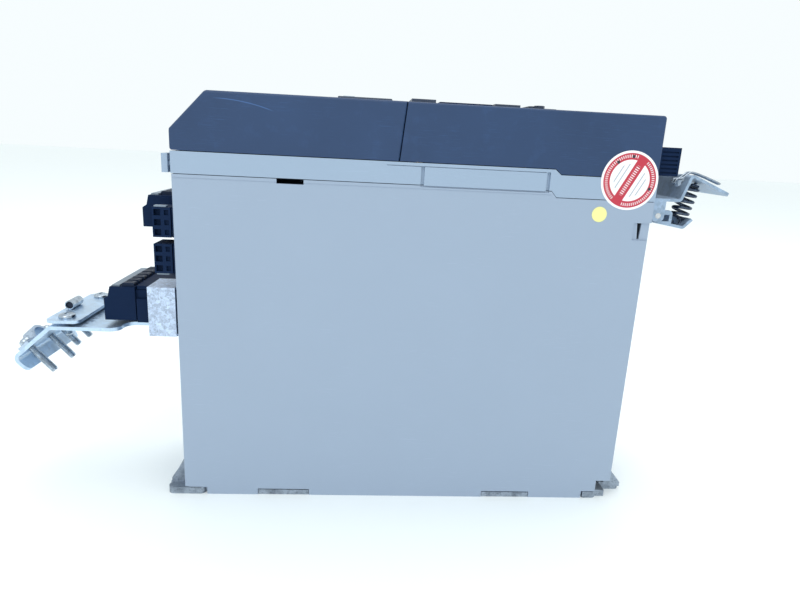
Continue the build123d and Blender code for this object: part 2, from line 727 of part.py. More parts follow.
def make_left_cover():
    """Dark cover with the sloping end, grip ridges and the opening for the operator panel."""
    outline = left_cover_outline(0)
    cover = prism(outline, (-side_y, side_y))
    cover = round_cover(cover, outline[2], cover_chamfer_round)
    cover = round_cover(cover, outline[0], edge_round)
    cover = round_sides(cover, band_top + 8)
    cover -= prism(left_cover_outline(wall), (-inner_y, inner_y))
    cover -= block((panel_x[0] - fit_gap, panel_x[1] + fit_gap),
                   (-panel_half - fit_gap, panel_half + fit_gap), (cover_top - 5, cover_top + 1))
    for ridge in range(ridge_count):
        z = band_top + ridge_rise + ridge_pitch * ridge
        cover += block((-end_x - ridge_proud, -end_x + 0.5), (-ridge_half, ridge_half),
                       (z, z + ridge_height))
    return cover


def right_cover_outline(inset):
    """Side outline of the dark right cover, drawn in by inset on its top and ends."""
    right = end_x + end_proud - inset
    low = band_top + cover_seam - (1 if inset else 0)
    top = cover_top - inset
    gap = cover_split_gap + inset
    return [
        (split_x(low, gap), low), (split_x(top, gap), top), (right, top), (right, low - band_step_drop),
        (step_x + step_run, low - band_step_drop), (step_x, low),
    ]


def make_right_cover():
    """Dark cover with the openings for the sockets and plugs of the control section."""
    outline = right_cover_outline(0)
    cover = prism(outline, (-side_y, side_y))
    cover = round_cover(cover, outline[2], cover_end_round)
    cover = round_sides(cover, cover_top - 0.01)
    cover -= prism(right_cover_outline(wall), (-inner_y, inner_y))
    through = (cover_top - wall - 1, cover_top + 1)
    for x in (bus_ports_x, drive_ports_x):
        cover -= block(widened(x), widened((-port_pitch, port_pitch)), through)
    for y in io_plug_bands:
        cover -= block(widened(io_plug_x), widened(y), through)
    cover -= block(widened(feedback_x), widened((-feedback_half, feedback_half)), through)
    cover -= block((inner_x - 1, end_x + 5), widened((-control_plug_half, control_plug_half)),
                   widened(control_plug_z))
    return cover


def make_cover_hook():
    """Release hook of the left cover, standing off the end of the frame."""
    plate_x = (-end_x - hook_reach, -end_x - hook_reach + hook_sheet)
    plate_y = [-side_y + setback for setback in hook_setback]
    bridge_y = [-side_y + setback for setback in hook_bridge_setback]
    bridge_z = [shell_height + rise for rise in hook_bridge_rise]
    hook = block(plate_x, plate_y, (shell_height + hook_rise, band_top - hook_drop))
    return hook + block((plate_x[1], -end_x), bridge_y, bridge_z)


# ---- fan -----------------------------------------------------------------------------------
def make_fan_frame():
    """Square fan frame with its round duct, motor mount and spokes."""
    low, high = fan_x
    frame = block(fan_x, (-fan_size / 2, fan_size / 2), (fan_rise, fan_rise + fan_size))
    frame = fillet(frame.edges().filter_by(Axis.X), 3.0)
    frame -= rod((low - 1, 0, fan_axis_z), (1, 0, 0), fan_duct_radius, fan_depth + 2)
    mount = rod((high - 3.5, 0, fan_axis_z), (1, 0, 0), fan_hub_radius, 3.5)
    spokes = [
        Pos(high - 1.75, 0, fan_axis_z) * Rot(45 + 90 * turn, 0, 0) * Pos(0, 0, 21) * Box(3.5, 3, 18)
        for turn in range(4)
    ]
    frame = frame + mount + spokes
    for y in (-25, 25):
        for z in (fan_rise + 5, fan_rise + fan_size - 5):
            frame -= rod((low - 1, y, z), (1, 0, 0), 2.1, fan_depth + 2)
    return frame - rod((high - 4, 0, fan_axis_z), (1, 0, 0), fan_shaft_radius + fan_shaft_gap, 5)


def make_fan_rotor():
    """Fan hub with its blades and shaft."""
    low, high = fan_x
    hub = rod((low + 2, 0, fan_axis_z), (1, 0, 0), fan_hub_radius, fan_depth - 7)
    hub = fillet(hub.edges().group_by(Axis.X)[0], 1.5)
    shaft = rod((high - 6, 0, fan_axis_z), (1, 0, 0), fan_shaft_radius, 5.5)
    reach = fan_blade_radius - fan_hub_radius + 1.5
    middle = fan_hub_radius - 1.5 + reach / 2
    blades = [
        Pos(low + 8.5, 0, fan_axis_z) * Rot(360 / fan_blade_count * turn, 0, 0)
        * Pos(0, 0, middle) * Rot(0, 0, 38) * Box(1.3, 15.0, reach)
        for turn in range(fan_blade_count)
    ]
    return hub + blades + shaft


# ---- power section -------------------------------------------------------------------------
def make_power_module():
    """Switching module on the heat sink, with its two screw flanges."""
    body = block((module_x[0] + 10, module_x[1] - 10), (-module_half, module_half),
                 (sink_face_z, power_board_z))
    flange = block(module_x, (-module_half, module_half), (sink_face_z, sink_face_z + module_flange))
    holes = [
        rod((x, y, sink_face_z - 1), (0, 0, 1), module_screw_radius + screw_gap, 20)
        for x, y in module_screw_places
    ]
    return body + flange - holes


def make_module_screws():
    """Screws that press the module on the heat sink."""
    return group([
        pan_screw((x, y, sink_face_z + module_flange), (0, 0, -1), module_screw_radius, 9.0, 3.0, 2.4)
        for x, y in module_screw_places
    ])


def make_power_board():
    """Printed board above the module."""
    board = block(power_board_x, (-inner_y + board_edge_gap, inner_y - board_edge_gap),
                  (power_board_z, board_top_z))
    return board - block((riser_x - 0.1, riser_x + board_thickness + 0.1),
                         (-riser_half - 1, riser_half + 1), (power_board_z - 1, board_top_z + 1))


def make_board_posts():
    """Spacers between the heat sink and the power board."""
    return group([
        rod((x, y, sink_face_z), (0, 0, 1), post_radius, module_height) for x, y in board_post_places
    ])


def make_capacitors():
    """Three intermediate-circuit capacitors, with the groove and vent of their cans."""
    cans = []
    pitch = 2 * capacitor_radius + capacitor_gap
    last_x = riser_x - capacitor_setback
    for number in range(capacitor_count):
        x = last_x - pitch * number
        can = rod((x, 0, board_top_z), (0, 0, 1), capacitor_radius, capacitor_height)
        can = fillet(can.edges(), 1.2)
        groove = Torus(capacitor_radius + 0.5, capacitor_groove)
        ring = Pos(x, 0, board_top_z + capacitor_groove_rise) * groove
        cans.append(can - ring)
    return group(cans)


def standing_block(x, y, low, size):
    """Box of the given size whose foot stands on low, centred at x and y."""
    return Pos(x, y, low + size[2] / 2) * Box(*size)


def make_filter_choke():
    """Ring core of the mains filter, standing on a foot."""
    x = riser_x - choke_setback
    ring = Cylinder(choke_radius, choke_width) - Cylinder(choke_radius - choke_ring, choke_width + 6)
    core = Pos(x, 0, board_top_z + choke_radius + 5) * Rot(90, 0, 0) * ring
    core = fillet(core.edges(), 2.5)
    return core + standing_block(x, 0, board_top_z, choke_foot)


def make_relay():
    """Charging relay on the power board."""
    x = riser_x - relay_setback - relay_size[0] / 2
    body = standing_block(x, relay_y + relay_size[1] / 2, board_top_z, relay_size)
    return fillet(body.edges().filter_by(Axis.Z), 1.5)


def make_transformer():
    """Small transformer of the internal supply: core, bobbin and foot."""
    x = riser_x - transformer_setback
    core = standing_block(x, transformer_y, board_top_z + transformer_foot[2], core_size)
    bobbin_low = board_top_z + transformer_foot[2] + (core_size[2] - bobbin_size[2]) / 2
    bobbin = standing_block(x, transformer_y, bobbin_low, bobbin_size)
    return core + bobbin + standing_block(x, transformer_y, board_top_z, transformer_foot)


def make_terminal_board():
    """Upright board that carries the headers of the terminal end."""
    return block((terminal_board_x, terminal_board_x + board_thickness), (-inner_y + 1, inner_y - 1),
                 (power_board_z + 1, shell_height - 6))


def make_riser_board():
    """Upright board that joins the power board to the control board."""
    return block((riser_x, riser_x + board_thickness), (-riser_half, riser_half),
                 (power_board_z, control_board_z))


def make_control_board():
    """Board of the control section, under the right cover."""
    board = block((cover_split_x + 3, inner_x - 2), (-inner_y + board_edge_gap, inner_y - board_edge_gap),
                  (control_board_z, control_board_top))
    for length, width, height, setback, low_y in chips:
        low_x = riser_x - setback
        board += block((low_x, low_x + length), (low_y, low_y + width),
                       (control_board_top - 0.1, control_board_top + height))
    return board


def make_control_posts():
    """Spacers between the frame deck and the control board."""
    low = deck_z + deck_thickness
    return group([
        rod((x, y, low), (0, 0, 1), post_radius, control_board_z - low) for x, y in control_post_places
    ])


# ---- terminals -----------------------------------------------------------------------------
def socket(x, y, z, mouth):
    """Header body with an open socket; mouth is -1 or +1, the end of X where it opens."""
    body = block(x, y, z)
    low, high = x
    hollow = (low - 1, high - header_back) if mouth < 0 else (low + header_back, high + 1)
    return body - block(hollow, (y[0] + header_wall, y[1] - header_wall),
                        (z[0] + header_wall, z[1] - header_wall))


def tongue(x, y, z):
    """The part of a plug that goes into the socket of its header."""
    inset = header_wall + fit_gap
    return block(x, (y[0] + inset, y[1] - inset), (z[0] + inset, z[1] - inset))


def power_plug(x, y, z, tongue_reach):
    """Plug with a sloping outer edge and its wire entries; the tongue points to +X."""
    run, drop = plug_chamfer
    outline = [
        (x[0], z[0]), (x[1], z[0]), (x[1], z[1]), (x[0] + run, z[1]),
        (x[0] + plug_step[0], z[1] - plug_step[1]), (x[0], z[1] - drop),
    ]
    body = prism(outline, y)
    return body + tongue((x[1] - 1, x[1] + tongue_reach), y, z)


def wire_entries(x, centre_y, z, poles, pitch):
    """Square wire entries in the outer face of a plug."""
    half = entry_size / 2
    return [
        block((x - 1, x + entry_depth), (y - half, y + half), (z - half, z + half))
        for y in (centre_y + (pole - (poles - 1) / 2) * pitch for pole in range(poles))
    ]


def make_motor_plug():
    """Six-pole plug of the motor cable."""
    plug = power_plug(motor_plug_x, motor_plug_y, motor_plug_z, plug_tongue)
    return plug - wire_entries(motor_plug_x[0], 0, motor_plug_z[0] + entry_rise, motor_poles, power_pitch)


def make_motor_header():
    """Header of the motor plug, standing out of the end wall, with a catch recess on top."""
    y = motor_plug_y
    z = (motor_plug_z[0] - 1.0, motor_plug_z[1] + plug_seat_gap)
    mouth = motor_plug_x[1] + plug_seat_gap
    header = block((mouth, terminal_board_x), y, z)
    header -= block((mouth - 1, mouth + plug_tongue + 2), (y[0] + header_wall, y[1] - header_wall),
                    (motor_plug_z[0] + header_wall, motor_plug_z[1] - header_wall))
    for side in (y[0] - 1, y[1] - 2):
        header -= block((mouth - 1, mouth + 6), (side, side + 3), (z[1] - 7, z[1] + 1))
    return header


def plug_levers(inner_end, centre_y, z, poles, pitch):
    """Spring-release levers on top of a plug, one per pole, each with a screwdriver slot."""
    x = (inner_end - release_setback - release_length, inner_end - release_setback)
    levers = []
    for pole in range(poles):
        y = centre_y + (pole - (poles - 1) / 2) * pitch
        lever = block(x, (y - release_width / 2, y + release_width / 2), (z, z + release_height))
        lever = fillet(lever.edges().filter_by(Axis.Y).group_by(Axis.Z)[-1], 0.8)
        levers.append(lever - block((x[0] + 1.5, x[1] - 1.5), (y - 0.5, y + 0.5), (z + 1, z + 3)))
    return group(levers)


def marker_strip(x, y, z):
    """Light marking strip on top of a plug."""
    low = x + plug_chamfer[0] + 1.1
    return block((low, low + strip_width), (y[0] + 1.5, y[1] - 1.5), (z, z + strip_height))


def make_mains_plug():
    """Five-pole plug of the supply cable."""
    plug = power_plug(mains_plug_x, mains_plug_y, mains_plug_z, plug_tongue)
    return plug - wire_entries(mains_plug_x[0], mains_plug_centre_y, mains_plug_z[0] + entry_rise,
                               mains_poles, power_pitch)


def make_mains_header():
    """Header of the supply plug, inside the end wall."""
    return socket((mains_plug_x[1] + plug_seat_gap, terminal_board_x), mains_plug_y, mains_plug_z, -1)


def aux_body_z(rise):
    """Low and high Z of one small plug."""
    return rise, rise + aux_plug_length


def make_aux_plug(rise):
    """Three-pole plug with its poles stacked along Z."""
    z = aux_body_z(rise)
    plug = block(aux_plug_x, aux_plug_y, z)
    plug += tongue((aux_plug_x[1] - 1, aux_plug_x[1] + 8), aux_header_y, z)
    middle = sum(z) / 2
    entry_y = aux_plug_y[0] + aux_entry_setback
    near_y = aux_plug_y[0]
    across, high, deep = aux_entry
    catch_x = (aux_plug_x[1] - 1.0 - aux_catch[0], aux_plug_x[1] - 1.0)
    for pole in range(aux_poles):
        height = middle + (pole - (aux_poles - 1) / 2) * signal_pitch
        entry_z = (height - high / 2, height + high / 2)
        plug -= block((aux_plug_x[0] - 1, aux_plug_x[0] + deep),
                      (entry_y - across / 2, entry_y + across / 2), entry_z)
        plug -= block((aux_plug_x[0] + 0.8, aux_plug_x[0] + 0.8 + aux_window[0]),
                      (near_y - 1, near_y + aux_window[1]), entry_z)
        plug -= block(catch_x, (near_y - 1, near_y + aux_catch[1]),
                      (height - aux_catch[2] / 2, height + aux_catch[2] / 2))
    return plug


def make_aux_headers():
    """Headers of the two small plugs."""
    return group([
        socket((aux_plug_x[1] + 0.4, terminal_board_x), aux_header_y, aux_body_z(rise), -1)
        for rise in aux_plug_rises
    ])


def make_control_header():
    """Header of the control plug at the right end, under the control board."""
    y = (-control_plug_half, control_plug_half)
    return socket((inner_x - control_header_depth, end_x + end_proud), y, control_plug_z, 1)


def make_control_plug():
    """Plug at the right end, with fine ribs on its two sides and one row of wire entries."""
    low, high = control_plug_z
    inner, outer = control_plug_x
    y = (-control_plug_half, control_plug_half)
    plug = block(control_plug_x, y, control_plug_z)
    plug += tongue((inner - control_plug_tongue, inner + 1), y, control_plug_z)
    groove_height, groove_deep = control_rib_groove
    for row in range(control_rib_count):
        z = low + control_rib_pitch * (row + 0.6)
        groove = block((inner + control_rib_setback[0], outer - control_rib_setback[1]),
                       (control_plug_half - groove_deep, control_plug_half + 1), (z, z + groove_height))
        plug -= both_sides(groove)
    across, entry_height, deep = control_entry
    middle = high - control_entry_drop
    for pole in range(control_poles):
        y_pole = (pole - (control_poles - 1) / 2) * signal_pitch
        plug -= block((outer - deep, outer + 1), (y_pole - across / 2, y_pole + across / 2),
                      (middle - entry_height / 2, middle + entry_height / 2))
    return plug


# ---- left shield plate ---------------------------------------------------------------------
def on_slope(station, y, rise):
    """Point of the flange: along the slope from the upper bend, across, and above its outer face."""
    base = Vector(shield_bend[0], y, shield_bend[1])
    return base + slope * station + slope_out * (shield_sheet / 2 + rise)


def make_terminal_bracket():
    """Bright bracket round the motor header: floor, two cheeks and folded top edges."""
    low_z = bracket_floor_z
    floor = block((bracket_x[0], -inner_x + 8), (-bracket_half, bracket_half),
                  (low_z, low_z + bracket_sheet))
    cheeks = []
    for side in (-1, 1):
        y = sorted((side * bracket_half, side * (bracket_half + bracket_sheet)))
        cheeks.append(block(bracket_x, y, (low_z, bracket_wall_top)))
        fold = sorted((side * (bracket_half + bracket_sheet), side * (bracket_half - bracket_fold)))
        cheeks.append(block(bracket_x, fold, (bracket_wall_top - bracket_sheet, bracket_wall_top)))
    hole = rod((plate_screw_x, plate_screw_y, low_z - 1), (0, 0, 1), plate_screw_radius + screw_gap, 5)
    return floor + cheeks - both_sides(hole)


def shield_path():
    """Middle line of the shield plate from the bracket out to the lip."""
    lip = Vector(*(shield_low[0], 0, shield_low[1])) - slope_out * shield_lip
    return [(bracket_x[1], shield_bend[1]), shield_bend, shield_low, (lip.X, lip.Z)]


def make_shield_plate():
    """Plate that the shields of the motor cable are clamped on, with a narrow neck at the bracket."""
    path = shield_path()
    plate = bent_sheet(path, shield_sheet, (-shield_half, shield_half), shield_bend_radius)
    beside_neck = block((shield_neck_x, bracket_x[1] + 1), (shield_neck_half, side_y),
                        (shield_z - shield_sheet, shield_z + shield_sheet))
    plate -= both_sides(beside_neck)
    shoulders = plate.edges().filter_by(Axis.Z)
    plate = fillet(shoulders.filter_by(lambda edge: abs(edge.center().X - shield_neck_x) < 0.01),
                   shield_shoulder_round)
    plate = fillet(sheet_corners(plate, shield_sheet, path[-1]), shield_lip_round)
    for side in (-1, 1):
        for x, y, radius in ((plate_screw_x, plate_screw_y, plate_screw_radius),
                             (strain_x, strain_screw_y, clamp_screw_radius)):
            plate -= rod((x, side * y, shield_z - 9), (0, 0, 1), radius + screw_gap, 15)
    for y in saddle_screw_rows():
        start = on_slope(saddle_station, y, 5)
        plate -= rod(start, slope_out * -1, clamp_screw_radius + screw_gap, 12)
    return plate


def saddle_screw_rows():
    """Places across the flange of the four clamp screws."""
    rows = []
    for centre, pitch in ((near_saddle_y, near_saddle_pitch), (far_saddle_y, far_saddle_pitch)):
        rows += [centre - pitch / 2, centre + pitch / 2]
    return rows


def make_plate_screws():
    """Screws that hold the shield plate on the bracket floor."""
    return group([
        pan_screw((plate_screw_x, side * plate_screw_y, shield_z + shield_sheet / 2), (0, 0, -1),
                  plate_screw_radius, plate_screw_length, plate_head_radius, plate_head_height, 0.7)
        for side in (-1, 1)
    ])


def make_saddle(centre, pitch, radius):
    """Arched clamp over one cable, with a foot and a screw hole on each side."""
    edge = on_slope(saddle_station - saddle_width / 2, centre, 0)
    plane = Plane(origin=edge, x_dir=(0, 1, 0), z_dir=slope)
    up = 1 if plane.y_dir.dot(slope_out) > 0 else -1
    outer = radius + saddle_sheet
    foot = pitch / 2 + saddle_foot
    outline = Circle(outer) + Pos(0, up * saddle_sheet / 2) * Rectangle(2 * foot, saddle_sheet)
    outline -= Circle(radius)
    outline -= Pos(0, -up * 20) * Rectangle(80, 40)
    saddle = extrude(plane * outline, amount=saddle_width)
    for side in (-1, 1):
        start = on_slope(saddle_station, centre + side * pitch / 2, 5)
        saddle -= rod(start, slope_out * -1, clamp_screw_radius + screw_gap, 9)
    return saddle


def make_saddle_screws(centre, pitch, length):
    """The two screws of one saddle."""
    return group([
        pan_screw(on_slope(saddle_station, centre + side * pitch / 2, saddle_sheet), slope_out * -1,
                  clamp_screw_radius, length, clamp_head_radius, clamp_head_height)
        for side in (-1, 1)
    ])


def make_strain_bar():
    """Flat bar that presses the cables on the plate."""
    bar = block(strain_bar_x, (-shield_half + 0.5, shield_half - 0.5), strain_bar_z)
    bar = fillet(bar.edges().filter_by(Axis.Z), strain_bar_round)
    holes = [rod((strain_x, side * strain_screw_y, shield_z), (0, 0, 1), clamp_screw_radius + screw_gap, 20)
             for side in (-1, 1)]
    return bar - holes


def make_strain_screws():
    """The two pan-head screws of the strain-relief bar."""
    return group([
        pan_screw((strain_x, side * strain_screw_y, strain_bar_z[1]), (0, 0, -1),
                  clamp_screw_radius, strain_screw_length, pan_head_radius, pan_head_height)
        for side in (-1, 1)
    ])


# ---- right shield bracket ------------------------------------------------------------------
def make_clip_bracket():
    """Stepped sheet bracket at the right end, with ears for the lever pin and notches for the springs."""
    path = [(inner_x - 10, clip_floor_z), clip_foot, clip_crest, clip_tip]
    bracket = bent_sheet(path, clip_sheet, (-clip_half, clip_half), 1.6)
    bracket = fillet(sheet_corners(bracket, clip_sheet, clip_tip), clip_tip_round)
    x, z = lever_pin
    left, right, below = clip_ear
    ear = block((x - left, x + right), (clip_half - clip_sheet, clip_half), (z - below, clip_floor_z))
    ear = fillet(ear.edges().filter_by(Axis.Y).group_by(Axis.Z)[0], clip_ear_round)
    bracket += both_sides(ear)
    notch_start = (clip_crest[0] - 8, spring_y, clip_crest[1] - spring_notch_drop)
    bracket -= both_sides(rod(notch_start, (1, 0, 0), spring_notch_radius, 12))
    return bracket - rod((x, -side_y, z), (0, 1, 0), lever_pin_radius + lever_pin_gap, body_width)


def make_lever_pin():
    """Pin of the clamp lever, flush with the ears of the bracket."""
    x, z = lever_pin
    return rod((x, -clip_half, z), (0, 1, 0), lever_pin_radius, 2 * clip_half)


def make_clamp_lever():
    """Sprung lever that presses control cables up against the bracket."""
    x, z = lever_pin
    lever = bent_sheet(lever_path, lever_sheet, (-lever_half, lever_half), 1.5)
    left, right, above = lever_ear
    outline = [(x - left, z - lever_ear_fall[0]), (x - left, z + above), (x + right, z + above),
               (x + right, z - lever_ear_fall[1])]
    ear = prism(outline, (lever_half - lever_sheet, lever_half))
    ear = fillet(ear.edges().filter_by(Axis.Y).group_by(Axis.Z)[-1], lever_ear_round)
    start, end, height = lever_window
    window_low = z - lever_window_drop
    ear -= block((x + start, x + end), (0, side_y), (window_low, window_low + height))
    lever += both_sides(ear)
    slot = block((x + lever_slot_x[0], x + lever_slot_x[1]), lever_slot_y, (z - 9, z - 2))
    lever -= both_sides(slot)
    return lever - rod((x, -side_y, z), (0, 1, 0), lever_pin_radius + lever_pin_gap, body_width)


def make_clamp_springs():
    """Two tension springs between the bracket and the lever, with straight hook wires."""
    springs = []
    for side in (-1, 1):
        top = Vector(spring_top[0], side * spring_y, spring_top[1])
        bottom = Vector(spring_bottom[0], side * spring_y, spring_bottom[1])
        axis = top - bottom
        length = axis.length
        coil_line = Helix(pitch=length / spring_turns, height=length, radius=spring_radius)
        section = Plane(origin=coil_line @ 0, z_dir=coil_line % 0) * Circle(spring_wire)
        coil = sweep(section, path=coil_line, is_frenet=True)
        place = Plane(origin=bottom, x_dir=(0, 1, 0), z_dir=axis.normalized())
        springs.append(place.location * coil)
    return group(springs)


# ---- operator panel and front sockets ------------------------------------------------------
def make_operator_panel():
    """Raised operator panel with the display window and the key openings."""
    panel = block(panel_x, (-panel_half, panel_half), (panel_top - panel_height, panel_top))
    panel = fillet(panel.edges().filter_by(Axis.Z), 1.5)
    panel = fillet(panel.faces().sort_by(Axis.Z)[-1].edges(), 0.5)
    panel -= block((panel_x[0] + panel_wall, panel_x[1] - panel_wall),
                   (-panel_half + panel_wall, panel_half - panel_wall),
                   (panel_top - panel_height - 1, panel_top - panel_plate))
    panel -= block(window_x, (-window_half, window_half), (panel_top - 5, panel_top + 1))
    for y in key_rows:
        panel -= block(widened((key_row_x - key_size[0] / 2, key_row_x + key_size[0] / 2)),
                       widened((y - key_size[1] / 2, y + key_size[1] / 2)), (panel_top - 5, panel_top + 1))
    return panel


def make_display_window():
    """Clear window of the display, stepped so that it sits in from behind."""
    x = (window_x[0] + window_gap, window_x[1] - window_gap)
    y = (-window_half + window_gap, window_half - window_gap)
    return block(x, y, (panel_top - panel_plate, panel_top - 0.3))


def make_display_module():
    """Display behind the window, on the panel's own board."""
    low = panel_top - panel_height + 0.6
    board = block((panel_x[0] + 2, panel_x[1] - 2), (-panel_half + 2, panel_half - 2), (low, low + 1.2))
    glass = block((window_x[0] - 1, window_x[1] + 1), (-window_half - 1, window_half + 1),
                  (low + 1.1, panel_top - panel_plate - 0.2))
    return board + glass


def make_key(y):
    """One key: a cap through the panel and a retaining flange below its plate."""
    cap_low = panel_top - panel_plate - 0.1 - key_flange
    cap = block((key_row_x - key_size[0] / 2, key_row_x + key_size[0] / 2),
                (y - key_size[1] / 2, y + key_size[1] / 2), (cap_low, panel_top + key_proud))
    cap = fillet(cap.faces().sort_by(Axis.Z)[-1].edges(), 0.4)
    half_x = key_size[0] / 2 + key_flange_step
    half_y = key_size[1] / 2 + key_flange_step
    flange = block((key_row_x - half_x, key_row_x + half_x), (y - half_y, y + half_y),
                   (cap_low, cap_low + key_flange))
    return cap + flange


def make_ports(x, proud):
    """Pair of data sockets side by side, opening to the front."""
    low = control_board_top
    port_top = cover_top + proud
    ports = block(x, (-port_pitch, port_pitch), (low, port_top))
    middle = sum(x) / 2
    across, along = port_opening
    catch_width, catch_height = port_catch
    for y in (-port_pitch / 2, port_pitch / 2):
        ports -= block((middle - along / 2, middle + along / 2), (y - across / 2, y + across / 2),
                       (port_top - port_depth, port_top + 1))
        ports -= block((middle + along / 2 - 0.1, middle + along / 2 + catch_height),
                       (y - catch_width / 2, y + catch_width / 2),
                       (port_top - port_depth, port_top + 1))
    return ports


def make_io_headers():
    """Headers of the two signal plugs, on the control board."""
    headers = []
    for y in io_plug_bands:
        low = control_board_top
        header = block(io_plug_x, y, (low, io_plug_low - 0.4))
        headers.append(header - block((io_plug_x[0] + io_wall, io_plug_x[1] - io_wall),
                                      (y[0] + io_wall, y[1] - io_wall), (low + 1.5, io_plug_low + 1)))
    return group(headers)


def make_io_plug(y):
    """Signal plug with two rows of wire entries, its tongue pointing down."""
    top = cover_top + io_plug_proud
    plug = block(io_plug_x, y, (io_plug_low, top))
    plug = chamfer(plug.faces().sort_by(Axis.Z)[-1].edges(), 0.5)
    inset = io_wall + fit_gap
    plug += block((io_plug_x[0] + inset, io_plug_x[1] - inset), (y[0] + inset, y[1] - inset),
                  (io_plug_low - io_plug_tongue, io_plug_low + 1))
    middle = sum(io_plug_x) / 2
    for pole in range(io_poles):
        x = middle + (pole - (io_poles - 1) / 2) * io_pitch
        for row in (y[0] + io_rows[0], y[1] - io_rows[1]):
            plug -= block((x - io_entry / 2, x + io_entry / 2), (row, row + io_entry),
                          (top - io_entry_depth, top + 1))
    return plug


def make_feedback_socket():
    """Shielded feedback socket with its flange and two jack posts."""
    low = control_board_top
    middle = sum(feedback_x) / 2
    flange_top = feedback_top - feedback_flange_drop
    body = block((feedback_x[0] + 0.2, feedback_x[1] - 0.2), (-feedback_half, feedback_half),
                 (low, flange_top))
    along, across = feedback_rim
    rim = standing_block(middle, 0, flange_top - 1, (along, across, feedback_flange_drop + 1))
    body += fillet(rim.edges().filter_by(Axis.Z), 2.4)
    inside = (along - 2 * feedback_sheet, across - 2 * feedback_sheet, feedback_mouth_depth + 1)
    mouth = standing_block(middle, 0, feedback_top - feedback_mouth_depth, inside)
    body -= fillet(mouth.edges().filter_by(Axis.Z), 2.4 - feedback_sheet)
    for y in (-feedback_post_y, feedback_post_y):
        post = extrude(Plane(origin=(middle, y, flange_top - 0.2)) * RegularPolygon(2.8, 6), amount=1.6)
        body = body + post - rod((middle, y, flange_top - 2.6), (0, 0, 1), 1.3, 6)
    return body


# ---- labels --------------------------------------------------------------------------------
def make_label(place, radius):
    """Round label on the near side wall."""
    x, z = place
    return rod((x, -side_y - label_gap, z), (0, -1, 0), radius, label_thickness)


def all_nodes():
    """Every node of the drive by name."""
    near_shell, far_shell = make_shells()
    nodes = {
        "heat_sink": make_heat_sink(),
        "near_shell": near_shell,
        "far_shell": far_shell,
        "front_frame": make_front_frame(),
        "left_front_cover": make_left_cover(),
        "right_front_cover": make_right_cover(),
        "cover_hook": make_cover_hook(),
        "fan_frame": make_fan_frame(),
        "fan_rotor": make_fan_rotor(),
        "power_module": make_power_module(),
        "frame_screws": group([make_module_screws(), make_plate_screws()]),
        "power_board": make_power_board(),
        "board_posts": group([make_board_posts(), make_control_posts()]),
        "link_capacitors": make_capacitors(),
        "filter_choke": make_filter_choke(),
        "charging_relay": make_relay(),
        "supply_transformer": make_transformer(),
        "terminal_board": make_terminal_board(),
        "riser_board": make_riser_board(),
        "control_board": make_control_board(),
        "motor_header": make_motor_header(),
        "motor_plug": make_motor_plug(),
        "motor_plug_levers": plug_levers(motor_plug_x[1], 0, motor_plug_z[1], motor_poles, power_pitch),
        "motor_plug_strip": marker_strip(motor_plug_x[0], motor_plug_y, motor_plug_z[1]),
        "mains_header": make_mains_header(),
        "mains_plug": make_mains_plug(),
        "mains_plug_levers": plug_levers(mains_plug_x[1], mains_plug_centre_y, mains_plug_z[1],
                                         mains_poles, power_pitch),
        "mains_plug_strip": marker_strip(mains_plug_x[0], mains_plug_y, mains_plug_z[1]),
        "aux_headers": make_aux_headers(),
        "lower_aux_plug": make_aux_plug(aux_plug_rises[0]),
        "upper_aux_plug": make_aux_plug(aux_plug_rises[1]),
        "control_header": make_control_header(),
        "control_plug": make_control_plug(),
        "terminal_bracket": make_terminal_bracket(),
        "shield_plate": make_shield_plate(),
        "near_saddle": make_saddle(near_saddle_y, near_saddle_pitch, near_saddle_radius),
        "near_saddle_screws": make_saddle_screws(near_saddle_y, near_saddle_pitch, near_screw_length),
        "far_saddle": make_saddle(far_saddle_y, far_saddle_pitch, far_saddle_radius),
        "far_saddle_screws": make_saddle_screws(far_saddle_y, far_saddle_pitch, far_screw_length),
        "strain_bar": make_strain_bar(),
        "strain_bar_screws": make_strain_screws(),
        "clip_bracket": make_clip_bracket(),
        "lever_pin": make_lever_pin(),
        "clamp_lever": make_clamp_lever(),
        "clamp_springs": make_clamp_springs(),
        "operator_panel": make_operator_panel(),
        "display_window": make_display_window(),
        "display_module": make_display_module(),
        "bus_ports": make_ports(bus_ports_x, bus_ports_proud),
        "drive_ports": make_ports(drive_ports_x, drive_ports_proud),
        "feedback_socket": make_feedback_socket(),
        "io_headers": make_io_headers(),
        "near_io_plug": make_io_plug(io_plug_bands[0]),
        "far_io_plug": make_io_plug(io_plug_bands[1]),
        "inspection_seal": make_label(seal_place, seal_radius),
        "dot_label": make_label(dot_place, dot_radius),
    }
    for number, y in enumerate(key_rows, 1):
        nodes[f"key_{number}"] = make_key(y)
    return nodes


os.makedirs("parts", exist_ok=True)
for name, shape in all_nodes().items():
    export_step(shape, f"parts/{name}.step")
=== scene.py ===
"""Look of a slim servo drive with its plugs, cable clamps, sockets and operator panel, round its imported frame.

Sizes in the classes are in millimetres. A piece is made of surfaces, each one a grid of points worked out at once.
"""

import json
import logging
import math
from dataclasses import dataclass
from enum import Enum

